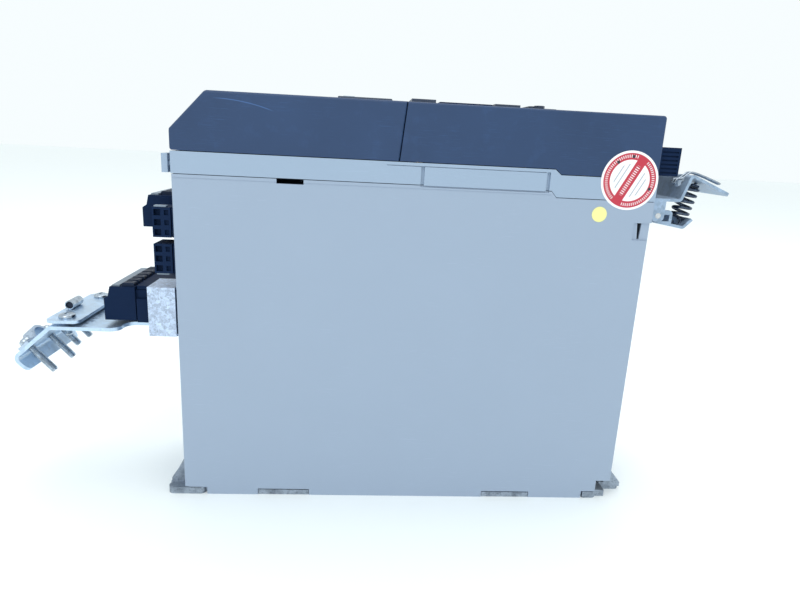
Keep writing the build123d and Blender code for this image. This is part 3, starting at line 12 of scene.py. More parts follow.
import bmesh
import bpy
import numpy as np
from mathutils import Matrix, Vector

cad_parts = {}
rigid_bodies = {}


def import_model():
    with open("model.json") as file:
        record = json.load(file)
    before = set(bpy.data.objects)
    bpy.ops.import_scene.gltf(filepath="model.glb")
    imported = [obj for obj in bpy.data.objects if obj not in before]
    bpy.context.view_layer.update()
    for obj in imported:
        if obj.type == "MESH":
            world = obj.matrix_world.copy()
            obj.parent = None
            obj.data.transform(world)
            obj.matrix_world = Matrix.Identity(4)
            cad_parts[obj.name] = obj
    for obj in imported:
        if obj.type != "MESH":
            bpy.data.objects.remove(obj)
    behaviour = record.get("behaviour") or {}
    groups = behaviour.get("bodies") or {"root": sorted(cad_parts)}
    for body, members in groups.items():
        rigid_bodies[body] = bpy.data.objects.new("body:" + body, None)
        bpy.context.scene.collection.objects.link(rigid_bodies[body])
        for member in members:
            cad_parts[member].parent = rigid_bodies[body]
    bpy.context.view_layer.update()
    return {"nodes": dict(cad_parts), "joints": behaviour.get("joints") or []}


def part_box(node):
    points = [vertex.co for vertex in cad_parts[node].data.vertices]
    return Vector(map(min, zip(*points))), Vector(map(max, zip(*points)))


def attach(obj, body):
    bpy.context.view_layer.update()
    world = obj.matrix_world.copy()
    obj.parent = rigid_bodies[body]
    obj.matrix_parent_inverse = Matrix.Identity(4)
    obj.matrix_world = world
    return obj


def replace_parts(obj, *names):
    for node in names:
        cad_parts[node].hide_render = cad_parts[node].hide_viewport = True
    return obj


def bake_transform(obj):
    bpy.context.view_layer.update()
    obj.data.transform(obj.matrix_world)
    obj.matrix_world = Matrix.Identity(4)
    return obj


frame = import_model()

MM = 0.001
FULL_TURN = 2 * math.pi
log = logging.getLogger("servo_drive")

Socket = bpy.types.NodeSocket
Colour = tuple[float, float, float]
Triple = tuple[float, float, float]


class Side(Enum):
    """The two long sides of the drive, by the sign of Y."""

    NEAR = -1
    FAR = 1


class Sign(Enum):
    """Marks on the keys of the operator panel."""

    UP = "up"
    DOWN = "down"
    RETURN = "return"
    ENTER = "enter"


# ---- node trees -----------------------------------------------------------------------------
class Recipe:
    """Node tree of one finish, with a short call for each kind of node that the finishes use."""

    def __init__(self, name: str) -> None:
        """Starts a material.

        Args:
            name: Name of the material.
        """
        self.material = bpy.data.materials.new(name)
        self.material.use_nodes = True
        self.tree = self.material.node_tree
        self.shader = self.tree.nodes["Principled BSDF"]

    def set(self, **inputs: object) -> "Recipe":
        """Fills inputs of the shader.

        Args:
            inputs: Value or socket by input name, with _ for each space.

        Returns:
            The recipe itself.
        """
        for key, value in inputs.items():
            self.plug(self.shader.inputs[key.replace("_", " ")], value)
        return self

    def plug(self, socket: Socket, value: object) -> None:
        """Links a socket to an input, or sets the input's own value.

        Args:
            socket: The input.
            value: An output socket or a plain value.
        """
        if isinstance(value, Socket):
            self.tree.links.new(value, socket)
        elif isinstance(value, tuple) and len(value) == 3 and socket.type == "RGBA":
            socket.default_value = (*value, 1.0)
        else:
            socket.default_value = value

    def add(self, kind: str, inputs: dict[str | int, object], **settings: object) -> bpy.types.Node:
        """Adds a node.

        Args:
            kind: Node type, without its ShaderNode prefix.
            inputs: Value or socket by input name or number.
            settings: Properties of the node.

        Returns:
            The node.
        """
        node = self.tree.nodes.new("ShaderNode" + kind)
        for key, value in settings.items():
            setattr(node, key, value)
        for key, value in inputs.items():
            self.plug(node.inputs[key], value)
        return node

    def place(self, scale: Triple = (1, 1, 1), shift: Triple = (0, 0, 0),
              turn: Triple = (0, 0, 0)) -> Socket:
        """Object coordinates, scaled, then turned, then shifted.

        Args:
            scale: Factor along each axis.
            shift: Shift in metres, after the scaling.
            turn: Angles in degrees.

        Returns:
            The vector.
        """
        coords = self.add("TexCoord", {}).outputs["Object"]
        angles = tuple(math.radians(angle) for angle in turn)
        inputs = {"Vector": coords, "Scale": scale, "Location": shift, "Rotation": angles}
        return self.add("Mapping", inputs).outputs["Vector"]

    def noise(self, vector: Socket, size: float, detail: float = 2.0,
              rough: float = 0.5, twist: float = 0.0) -> Socket:
        """Noise with features of a given size.

        Args:
            vector: Where it is read.
            size: Feature size in millimetres.
            detail: Octaves.
            rough: Weight of the finer octaves.
            twist: Distortion.

        Returns:
            The noise, about 0 to 1.
        """
        inputs = {"Vector": vector, "Scale": 1 / (size * MM), "Detail": detail, "Roughness": rough,
                  "Distortion": twist}
        return self.add("TexNoise", inputs).outputs["Fac"]

    def cells(self, vector: Socket, size: float, output: str = "Color",
              **settings: object) -> Socket:
        """Voronoi cells of a given size.

        Args:
            vector: Where they are read.
            size: Cell size in millimetres.
            output: Output to take.
            settings: Properties of the node.

        Returns:
            The chosen output.
        """
        return self.add("TexVoronoi", {"Vector": vector, "Scale": 1 / (size * MM)}, **settings).outputs[output]

    def range(self, value: Socket, low: float, high: float, to_low: float = 0.0,
              to_high: float = 1.0) -> Socket:
        """Maps low..high to to_low..to_high, and holds the ends."""
        inputs = {"Value": value, "From Min": low, "From Max": high, "To Min": to_low, "To Max": to_high}
        return self.add("MapRange", inputs).outputs["Result"]

    def calc(self, operation: str, a: object, b: object = 0.0) -> Socket:
        """One step of arithmetic on two values."""
        return self.add("Math", {0: a, 1: b}, operation=operation).outputs[0]

    def times(self, a: object, b: object) -> Socket:
        """Product a·b."""
        return self.calc("MULTIPLY", a, b)

    def plus(self, a: object, b: object) -> Socket:
        """Sum a + b."""
        return self.calc("ADD", a, b)

    def minus(self, a: object, b: object) -> Socket:
        """Difference a - b."""
        return self.calc("SUBTRACT", a, b)

    def reach(self, a: Socket, b: Socket) -> Socket:
        """Length √(a² + b²)."""
        return self.calc("SQRT", self.plus(self.times(a, a), self.times(b, b)))

    def ripple(self, value: Socket) -> Socket:
        """Sawtooth |frac(value) - 0.5|, from 0.5 at whole numbers down to 0 between them."""
        return self.calc("ABSOLUTE", self.minus(self.calc("FRACT", value), 0.5))

    def mix(self, factor: object, a: object, b: object) -> Socket:
        """Colour a where the factor is 0 and b where it is 1."""
        return self.add("Mix", {0: factor, 6: a, 7: b}, data_type="RGBA").outputs[2]

    def split(self, vector: Socket) -> tuple[Socket, ...]:
        """The X, Y and Z of a vector."""
        return tuple(self.add("SeparateXYZ", {0: vector}).outputs)

    def bump(self, height: Socket, depth: float,
             normal: Socket | None = None) -> Socket:
        """Bends the normal by a height.

        Args:
            height: Height, 0 to 1.
            depth: Depth in millimetres of a height of 1.
            normal: A normal that is bent already.

        Returns:
            The normal.
        """
        inputs = {"Height": height, "Strength": 1.0, "Distance": depth * MM}
        if normal is not None:
            inputs["Normal"] = normal
        return self.add("Bump", inputs).outputs["Normal"]

    def scratches(self, turn: Triple, length: float, width: float, share: float) -> Socket:
        """Fine straight scratches: noise drawn out along one direction, kept where it peaks.

        Args:
            turn: Angles in degrees from which the scratches run along X.
            length: Length in millimetres.
            width: Width in millimetres.
            share: Share of the surface, up to about 0.2.

        Returns:
            1 on a scratch and 0 elsewhere.
        """
        drawn = self.place((width / length, 1, 1), turn=turn)
        peak = 0.74 - 0.6 * share
        return self.range(self.noise(drawn, width, 1.0), peak, peak + 0.03)


def shade(colour: Colour, factor: float) -> Colour:
    """The colour, lighter or darker by a factor."""
    return tuple(min(1.0, part * factor) for part in colour)


# ---- finishes -------------------------------------------------------------------------------
@dataclass(frozen=True)
class MouldedPlastic:
    """Injection-moulded plastic: eroded grain, slow changes of shade, rubbed patches and fine scratches."""

    name: str
    colour: Colour
    rough: float = 0.5
    grain: float = 0.45
    grain_depth: float = 0.012
    mottle: float = 0.05
    wear: float = 0.06
    wear_tint: float = 1.25
    coat: float = 0.0
    gloss: float = 0.5
    scar: tuple[float, ...] = ()

    def scar_mask(self, r: Recipe) -> object:
        """Long curved scratch: a ring |√((x-a)² + (z-b)²) - radius| < width on the near side, between two places
        along X.

        Args:
            r: The recipe that the nodes belong to.

        Returns:
            The mask's socket.
        """
        a, b, radius, start, end = self.scar
        x, y, z = r.split(r.place(shift=(-a * MM, 0.0, -b * MM)))
        distance = r.reach(x, z)
        off = r.calc("ABSOLUTE", r.minus(distance, radius * MM))
        reach = r.times(r.range(x, (start - a) * MM, (start - a + 6) * MM),
                       r.range(x, (end - a - 4) * MM, (end - a) * MM, 1.0, 0.0))
        reach = r.times(reach, r.range(y, -5 * MM, 0.0, 1.0, 0.0))
        return r.times(r.range(off, 0.1 * MM, 0.3 * MM, 1.0, 0.0), reach)

    def make(self) -> bpy.types.Material:
        """Builds the material: colour = shade · (1 ± mottle · slow noise), lighter on scratches and rubs."""
        r = Recipe(self.name)
        here = r.place()
        slow = r.noise(here, 38.0, 3.0)
        patch = r.noise(here, 9.0, 4.0, 0.65)
        base = r.mix(slow, shade(self.colour, 1 - self.mottle), shade(self.colour, 1 + self.mottle))
        rub = r.times(r.range(patch, 0.56, 0.72), self.wear * 3)
        base = r.mix(rub, base, shade(self.colour, self.wear_tint))
        lines = r.calc("MAXIMUM", r.scratches((0, 24, 0), 14.0, 0.16, self.wear),
                       r.scratches((0, -57, 12), 9.0, 0.12, self.wear))
        lines = r.times(lines, r.range(r.noise(here, 26.0, 2.0), 0.48, 0.62))
        base = r.mix(r.times(lines, 0.5), base, shade(self.colour, self.wear_tint * 1.3))
        if self.scar:
            base = r.mix(r.times(self.scar_mask(r), 0.5), base, shade(self.colour, self.wear_tint * 2))
        grain = r.noise(here, self.grain, 2.0, 0.6)
        rough = r.plus(r.range(patch, 0.3, 0.7, self.rough - 0.06, self.rough + 0.06),
                       r.times(lines, 0.15))
        normal = r.bump(grain, self.grain_depth)
        normal = r.bump(slow, 0.25, normal)
        return r.set(Base_Color=base, Roughness=rough, Normal=normal, Coat_Weight=self.coat,
                     Specular_IOR_Level=self.gloss).material


@dataclass(frozen=True)
class ZincSheet:
    """Zinc-coated sheet: crystal spangle, rolling lines, handling scratches and dull patches."""

    name: str
    colour: Colour
    spangle: float = 2.2
    contrast: float = 0.25
    rough: float = 0.34
    brushing: float = 0.1
    metal: float = 1.0

    def make(self) -> bpy.types.Material:
        """Builds the material: each crystal has a shade and a gloss of its own, over drawn-out rolling noise."""
        r = Recipe(self.name)
        here = r.place()
        bend = r.add("VectorMath", {0: here, 1: r.add("VectorMath", {
            0: r.add("TexNoise", {"Vector": here, "Scale": 1 / (self.spangle * MM), "Detail": 2.0}).outputs["Color"],
            "Scale": self.spangle * 0.9 * MM}, operation="SCALE").outputs[0]}).outputs[0]
        crystal = r.split(r.cells(bend, self.spangle))[0]
        fine = r.split(r.cells(bend, self.spangle * 0.37))[1]
        tone = r.plus(r.times(crystal, 0.65), r.times(fine, 0.35))
        rolled = r.noise(r.place((0.02, 1, 1)), 0.22, 2.0)
        dull = r.range(r.noise(here, 12.0, 3.0), 0.4, 0.65)
        base = r.mix(tone, shade(self.colour, 1 - self.contrast), shade(self.colour, 1 + self.contrast))
        base = r.mix(r.times(dull, 0.25), base, shade(self.colour, 0.78))
        lines = r.calc("MAXIMUM", r.scratches((10, 35, 20), 12.0, 0.1, 0.1),
                       r.scratches((-20, -48, 70), 8.0, 0.1, 0.09))
        base = r.mix(r.times(lines, 0.5), base, shade(self.colour, 1.25))
        rough = r.plus(r.range(tone, 0, 1, self.rough - 0.1, self.rough + 0.12),
                       r.times(rolled, self.brushing))
        normal = r.bump(tone, 0.02 * self.contrast + 0.002)
        normal = r.bump(rolled, 0.004, normal)
        return r.set(Base_Color=base, Roughness=rough, Normal=normal, Metallic=self.metal).material


@dataclass(frozen=True)
class PlatedSteel:
    """Plated screws and springs: a smooth coat with tiny pits and a darker film."""

    name: str
    colour: Colour
    rough: float = 0.28
    film: float = 0.2

    def make(self) -> bpy.types.Material:
        """Builds the material: colour darkened by film · noise, with gloss that changes over the piece."""
        r = Recipe(self.name)
        here = r.place()
        cloud = r.noise(here, 2.5, 4.0, 0.6)
        pits = r.noise(here, 0.25, 2.0)
        base = r.mix(r.range(cloud, 0.35, 0.7), self.colour, shade(self.colour, 1 - self.film))
        rough = r.range(cloud, 0.3, 0.7, self.rough - 0.08, self.rough + 0.12)
        return r.set(Base_Color=base, Roughness=rough, Normal=r.bump(pits, 0.006), Metallic=1.0).material


@dataclass(frozen=True)
class CastMetal:
    """Grey cast aluminium: coarse skin, pits and darker hollows."""

    name: str
    colour: Colour
    stain: Colour

    def make(self) -> bpy.types.Material:
        """Builds the material: coarse and fine noise make the skin, and stain gathers in its hollows."""
        r = Recipe(self.name)
        here = r.place()
        skin = r.noise(here, 1.1, 5.0, 0.7)
        patch = r.noise(here, 7.0, 4.0, 0.6)
        base = r.mix(r.range(patch, 0.44, 0.66, 0.0, 0.7), self.colour, self.stain)
        base = r.mix(r.range(skin, 0.35, 0.5, 0.6, 0.0), base, shade(self.stain, 0.5))
        rough = r.range(skin, 0.3, 0.7, 0.42, 0.7)
        normal = r.bump(patch, 0.3, r.bump(skin, 0.12))
        return r.set(Base_Color=base, Roughness=rough, Normal=normal, Metallic=0.75).material


@dataclass(frozen=True)
class SolderMask:
    """Circuit board: solder mask over square-cornered tracks, with tinned pads."""

    name: str
    colour: Colour
    tin: Colour = (0.62, 0.6, 0.52)

    def make(self) -> bpy.types.Material:
        """Builds the material: tracks follow the borders of square-distance cells, pads their middles."""
        r = Recipe(self.name)
        here = r.place()
        near = r.cells(here, 3.4, "Distance", distance="CHEBYCHEV")
        track = r.range(r.calc("ABSOLUTE", r.minus(near, 0.42)), 0.0, 0.05, 1.0, 0.0)
        pads = r.range(r.cells(here, 2.1, "Distance"), 0.16, 0.2, 1.0, 0.0)
        pads = r.times(pads, r.range(r.noise(here, 14.0, 1.0), 0.5, 0.54))
        base = r.mix(r.times(track, 0.7), self.colour, shade(self.colour, 1.9))
        base = r.mix(pads, base, self.tin)
        rough = r.range(pads, 0, 1, 0.32, 0.25)
        normal = r.bump(r.calc("MAXIMUM", track, pads), 0.035)
        return r.set(Base_Color=base, Roughness=rough, Normal=normal, Metallic=pads).material


@dataclass(frozen=True)
class WoundWire:
    """Enamelled wire laid side by side."""

    name: str
    colour: Colour
    wire: float = 1.1

    def make(self) -> bpy.types.Material:
        """Builds the material: bands one wire wide, rounded in the bump, with painted shade darkening the gaps
        between wires.
        """
        r = Recipe(self.name)
        here = r.place()
        bands = r.add("TexWave", {"Vector": here, "Scale": 0.314 / (self.wire * MM), "Distortion": 0.4,
                                  "Detail": 1.0}, bands_direction="X").outputs["Fac"]
        # Painted shade: the colour drops to 0.3 of itself in the gaps between the wires.
        base = r.mix(r.range(bands, 0.0, 0.5), shade(self.colour, 0.3), self.colour)
        rough = r.range(r.noise(here, 3.0, 2.0), 0.3, 0.7, 0.25, 0.4)
        return r.set(Base_Color=base, Roughness=rough, Normal=r.bump(bands, 0.3), Metallic=0.6).material


@dataclass(frozen=True)
class TintedWindow:
    """Clear tinted plastic with hairline marks."""

    name: str
    colour: Colour

    def make(self) -> bpy.types.Material:
        """Builds the material: light passes through, and hairlines only change its gloss."""
        r = Recipe(self.name)
        lines = r.scratches((0, 0, 31), 7.0, 0.08, 0.12)
        rough = r.plus(r.range(r.noise(r.place(), 5.0, 3.0), 0.35, 0.7, 0.05, 0.12),
                       r.times(lines, 0.2))
        return r.set(Base_Color=self.colour, Roughness=rough, Transmission_Weight=0.85, IOR=1.49).material


@dataclass(frozen=True)
class PrintedSeal:
    """Round paper seal: red ring and bar with white ticks, ruled fields beside the bar, dark punch marks."""

    name: str
    centre: Triple
    ring: tuple[float, float] = (10.6, 14.0)
    ring_ticks: int = 72
    bar: tuple[float, float] = (0.462, 0.887)
    bar_half: float = 2.4
    bar_tick: float = 1.15
    rule_pitch: float = 2.3
    punches: tuple[tuple[float, float], ...] = ((0.5, 12.2), (-7.2, 9.0), (11.1, -3.9))
    punch_radius: float = 0.85
    edge_blur: float = 0.12
    tick_inset: tuple[float, float] = (1.0, 0.9)
    letter_half: float = 0.9
    field_inset: float = 2.2
    rule_ink: Colour = (0.25, 0.28, 0.34)
    punch_ink: Colour = (0.02, 0.02, 0.03)
    paper: Colour = (0.9, 0.91, 0.93)
    ink: Colour = (0.5, 0.028, 0.055)

    def make(self) -> bpy.types.Material:
        """Builds the material: ink in the ring and the bar, ticks round and along them, rules beside the bar."""
        r = Recipe(self.name)
        x, _, z = r.split(r.place(shift=tuple(-part for part in self.centre)))
        distance = r.reach(x, z)
        angle = r.calc("DIVIDE", r.calc("ARCTAN2", z, x), FULL_TURN)
        inner, outer = (edge * MM for edge in self.ring)
        soft = self.edge_blur * MM
        band = r.times(r.range(distance, inner - soft, inner + soft),
                      r.range(distance, outer - soft, outer + soft, 1.0, 0.0))
        step = r.ripple(r.times(angle, self.ring_ticks))
        start, end = inner + self.tick_inset[0] * MM, outer - self.tick_inset[1] * MM
        reach = r.times(r.range(distance, start, start + soft), r.range(distance, end, end + soft, 1.0, 0.0))
        tick = r.times(r.range(step, 0.14, 0.2, 1.0, 0.0), reach)
        along = r.plus(r.times(x, self.bar[0]), r.times(z, self.bar[1]))
        across = r.minus(r.times(x, self.bar[1]), r.times(z, self.bar[0]))
        across = r.calc("ABSOLUTE", across)
        edge = inner - self.field_inset * MM
        middle = r.range(distance, edge, edge + 0.2 * MM, 1.0, 0.0)
        letter = r.ripple(r.calc("DIVIDE", along, self.bar_tick * MM))
        edge = self.letter_half * MM
        letter = r.times(r.range(letter, 0.14, 0.22, 1.0, 0.0),
                         r.times(r.range(across, edge, edge + 0.2 * MM, 1.0, 0.0), middle))
        bar = r.times(r.range(across, self.bar_half * MM, self.bar_half * MM + soft, 1.0, 0.0),
                     r.range(distance, outer - soft, outer, 1.0, 0.0))
        bar = r.minus(bar, r.times(letter, bar))
        rules = r.minus(across, (self.bar_half + self.rule_pitch / 2) * MM)
        rules = r.ripple(r.calc("DIVIDE", rules, self.rule_pitch * MM))
        rules = r.times(r.range(rules, 0.1, 0.16, 0.7, 0.0),
                       r.times(middle, r.range(across, (self.bar_half + 0.8) * MM,
                                                              (self.bar_half + 0.9) * MM)))
        ink = r.calc("MAXIMUM", r.minus(band, r.times(tick, band)), bar)
        fibre = r.noise(r.place(), 0.3, 3.0, 0.6)
        paper = r.mix(fibre, shade(self.paper, 0.96), self.paper)
        base = r.mix(rules, paper, self.rule_ink)
        base = r.mix(ink, base, self.ink)
        for right, up in self.punches:
            a = r.minus(x, right * MM)
            b = r.minus(z, up * MM)
            gap = r.reach(a, b)
            mark = r.range(gap, self.punch_radius * MM - soft, self.punch_radius * MM + soft, 1.0, 0.0)
            base = r.mix(mark, base, self.punch_ink)
        return r.set(Base_Color=base, Roughness=r.range(fibre, 0.3, 0.7, 0.38, 0.5),
                     Normal=r.bump(fibre, 0.012)).material


@dataclass(frozen=True)
class PlainPaper:
    """Coated paper in one colour, a little uneven."""

    name: str
    colour: Colour

    def make(self) -> bpy.types.Material:
        """Builds the material: fibres change shade, gloss and relief together."""
        r = Recipe(self.name)
        fibre = r.noise(r.place(), 0.35, 3.0, 0.6)
        base = r.mix(fibre, shade(self.colour, 0.93), self.colour)
        return r.set(Base_Color=base, Roughness=r.range(fibre, 0.3, 0.7, 0.42, 0.56),
                     Normal=r.bump(fibre, 0.012)).material


# ---- surfaces -------------------------------------------------------------------------------
@dataclass
class Surface:
    """A grid of points in millimetres, and how its sides close."""

    points: np.ndarray
    ring: bool = True
    loop: bool = False
    caps: bool = False

    def faces(self) -> list[list[int]]:
        """Corner numbers: cell (i, j) joins rows i, i + 1 and columns j, j + 1, taken round where a side closes."""
        rows, columns = self.points.shape[:2]
        i, j = np.meshgrid(np.arange(rows - (not self.loop)), np.arange(columns - (not self.ring)), indexing="ij")
        low, high = i * columns, (i + 1) % rows * columns
        right = (j + 1) % columns
        cells = np.stack([low + j, low + right, high + right, high + j], -1).reshape(-1, 4).tolist()
        if self.caps:
            cells += [list(range(columns))[::-1], list(range((rows - 1) * columns, rows * columns))]
        return cells


def unit(vector: np.ndarray) -> np.ndarray:
    """Vectors of length 1."""
    return vector / np.linalg.norm(vector, axis=-1, keepdims=True)


def turned(base: np.ndarray, axis: np.ndarray, profile: np.ndarray, columns: int = 48,
           side: Triple = (0.0, 1.0, 0.0)) -> Surface:
    """Surface of revolution: point(s, a) = base + axis·height(s) + radius(s)·(cos a·u + sin a·v).

    Args:
        base: Start of the axis.
        axis: Its direction.
        profile: Rows of radius and height; radius may be one value or one for each column.
        columns: Points round the axis.
        side: Any direction across the axis.

    Returns:
        The surface.
    """
    axis = unit(np.asarray(axis, float))
    u = unit(np.cross(np.asarray(side, float), axis))
    v = np.cross(axis, u)
    a = np.arange(columns) * FULL_TURN / columns
    around = np.cos(a)[:, None] * u + np.sin(a)[:, None] * v
    radius, height = profile[..., 0], profile[..., 1]
    if radius.ndim == 1:
        radius, height = radius[:, None], height[:, None]
    return Surface(np.asarray(base) + height[..., None] * axis + radius[..., None] * around)


def tube(path: np.ndarray, radius: float, across: np.ndarray, columns: int = 12) -> Surface:
    """Round wire: point(t, a) = path(t) + radius·(cos a·n + sin a·b), with n across the path and b square to both.

    Args:
        path: Points of the middle line.
        radius: Radius of the wire.
        across: A direction, or one for each point, that the path never runs along.
        columns: Points round the wire.

    Returns:
        The closed surface.
    """
    tangent = unit(np.gradient(path, axis=0))
    across = np.broadcast_to(across, path.shape)
    normal = unit(across - (across * tangent).sum(-1, keepdims=True) * tangent)
    binormal = np.cross(tangent, normal)
    a = (np.arange(columns) * FULL_TURN / columns)[None, :, None]
    points = path[:, None] + radius * (np.cos(a) * normal[:, None] + np.sin(a) * binormal[:, None])
    return Surface(points, caps=True)


def rounded_box(low: Triple, high: Triple, radius: float, steps: int = 3) -> list[Surface]:
    """Box with round edges: point = p + radius·unit(q - p), with q on the box and p the nearest point of its core.

    Args:
        low: Lowest corner.
        high: Highest corner.
        radius: Radius of the edges.
        steps: Points over half an edge.

    Returns:
        Its six sides, which meet edge to edge.
    """
    low, high = np.asarray(low, float), np.asarray(high, float)
    middle, half = (low + high) / 2, (high - low) / 2
    arc = np.tan(np.linspace(0, math.pi / 4, steps + 1))
    sides = []
    for axis in range(3):
        for sign in (-1, 1):
            others = [k for k in range(3) if k != axis]
            lines = [np.concatenate([-(half[k] - radius) - radius * arc[::-1], half[k] - radius + radius * arc])
                     for k in others]
            s, t = np.meshgrid(*lines, indexing="ij")
            q = np.empty((*s.shape, 3))
            q[..., axis] = sign * half[axis]
            q[..., others[0]], q[..., others[1]] = s, t
            core = np.clip(q, -(half - radius), half - radius)
            sides.append(Surface(middle + core + radius * unit(q - core), ring=False))
    return sides


def slab(outline: np.ndarray, low: float, high: float, shrink: float = 0.12) -> Surface:
    """Thin raised shape: the outline at low and high - shrink, then drawn in by shrink at high.

    Args:
        outline: Points of the outline, as X and Y.
        low: Z of the underside.
        high: Z of the top.
        shrink: Size of the bevel.

    Returns:
        The closed surface.
    """
    middle = outline.mean(0)
    inner = middle + (outline - middle) * (1 - shrink / np.linalg.norm(outline - middle, axis=1).mean())
    rows = [(outline, low), (outline, high - shrink), (inner, high)]
    return Surface(np.stack([np.column_stack([xy, np.full(len(xy), z)]) for xy, z in rows]), caps=True)


def make_piece(name: str, surfaces: list[Surface], material: bpy.types.Material, body: str,
               sharp: float = 38.0) -> bpy.types.Object:
    """Joins surfaces into one object, merges their common points and turns the faces outwards.

    Args:
        name: Name of the piece.
        surfaces: Its surfaces, in millimetres.
        material: Its finish.
        body: CAD body that it moves with, or nothing for a piece that is left unattached.
        sharp: Angle in degrees above which an edge stays sharp.

    Returns:
        The object.
    """
    starts = np.cumsum([0] + [surface.points.shape[0] * surface.points.shape[1] for surface in surfaces])
    points = np.concatenate([surface.points.reshape(-1, 3) for surface in surfaces]) * MM
    faces = [[int(start) + corner for corner in face] for start, surface in zip(starts, surfaces)
             for face in surface.faces()]
    mesh = bpy.data.meshes.new(name)
    mesh.from_pydata(points, [], faces)
    shape = bmesh.new()
    shape.from_mesh(mesh)
    bmesh.ops.remove_doubles(shape, verts=shape.verts, dist=2e-6)
    bmesh.ops.recalc_face_normals(shape, faces=shape.faces)
    shape.to_mesh(mesh)
    shape.free()
    mesh.shade_smooth()
    mesh.set_sharp_from_angle(angle=math.radians(sharp))
    mesh.materials.append(material)
    piece = bpy.data.objects.new(name, mesh)
    bpy.context.scene.collection.objects.link(piece)
    if body:
        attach(piece, body)
    return piece


def box_mm(node: str) -> tuple[np.ndarray, np.ndarray]:
    """Lowest and highest corner of a CAD node, in millimetres."""
    low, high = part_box(node)
    return np.array(low) / MM, np.array(high) / MM


def dress(material: bpy.types.Material, *nodes: str) -> None:
    """Gives CAD nodes their finish.

    Args:
        material: The finish.
        nodes: Names of the nodes.
    """
    for node in nodes:
        piece = frame["nodes"][node]
        if not piece.material_slots:
            piece.data.materials.append(material)
        for place in piece.material_slots:
            place.material = material


# ---- sub-assemblies -------------------------------------------------------------------------
@dataclass
class Housing:
    """Two light half shells, the light front frame and the two dark covers."""

    light: Colour = (0.303, 0.378, 0.488)
    frame_light: Colour = (0.302, 0.392, 0.512)
    dark: Colour = (0.021, 0.05, 0.122)
    scar: tuple[float, ...] = (-101.5, 130.3, 85.7, -103.0, -73.0)

    def build(self) -> None:
        """Dresses the housing."""
        dress(MouldedPlastic("light_shell", self.light, 0.55, wear=0.02, wear_tint=1.08, mottle=0.02).make(),
              "near_shell", "far_shell")
        dress(MouldedPlastic("light_frame", self.frame_light, 0.5, wear=0.03, wear_tint=1.1, mottle=0.02).make(),
              "front_frame", "cover_hook")
        dress(MouldedPlastic("dark_cover", self.dark, 0.44, 0.5, wear=0.07, wear_tint=1.8, mottle=0.2, gloss=0.35,
                             scar=self.scar).make(), "left_front_cover", "right_front_cover")


@dataclass
class PowerSection:
    """Heat sink, fan, module, boards and the parts on them, mostly seen through the grilles."""

    def build(self) -> None:
        """Dresses the inner parts."""
        dress(CastMetal("cast_aluminium", (0.36, 0.42, 0.5), (0.15, 0.18, 0.22)).make(), "heat_sink")
        dress(MouldedPlastic("fan_black", (0.02, 0.021, 0.024), 0.42).make(), "fan_frame", "fan_rotor")
        dress(MouldedPlastic("module_resin", (0.05, 0.05, 0.055), 0.6).make(), "power_module")
        dress(PlatedSteel("zinc_screws", (0.66, 0.68, 0.7)).make(), "frame_screws", "lever_pin")
        dress(SolderMask("solder_mask", (0.012, 0.075, 0.035)).make(),
              "power_board", "terminal_board", "riser_board", "control_board")
        dress(PlatedSteel("brass_posts", (0.62, 0.47, 0.22), 0.3).make(), "board_posts")
        dress(MouldedPlastic("can_sleeve", (0.02, 0.026, 0.06), 0.25, coat=0.4).make(), "link_capacitors")
        dress(WoundWire("choke_wire", (0.42, 0.15, 0.05)).make(), "filter_choke")
        dress(MouldedPlastic("relay_blue", (0.02, 0.1, 0.32), 0.3).make(), "charging_relay")
        dress(MouldedPlastic("ferrite", (0.035, 0.035, 0.038), 0.5, 0.8).make(), "supply_transformer")


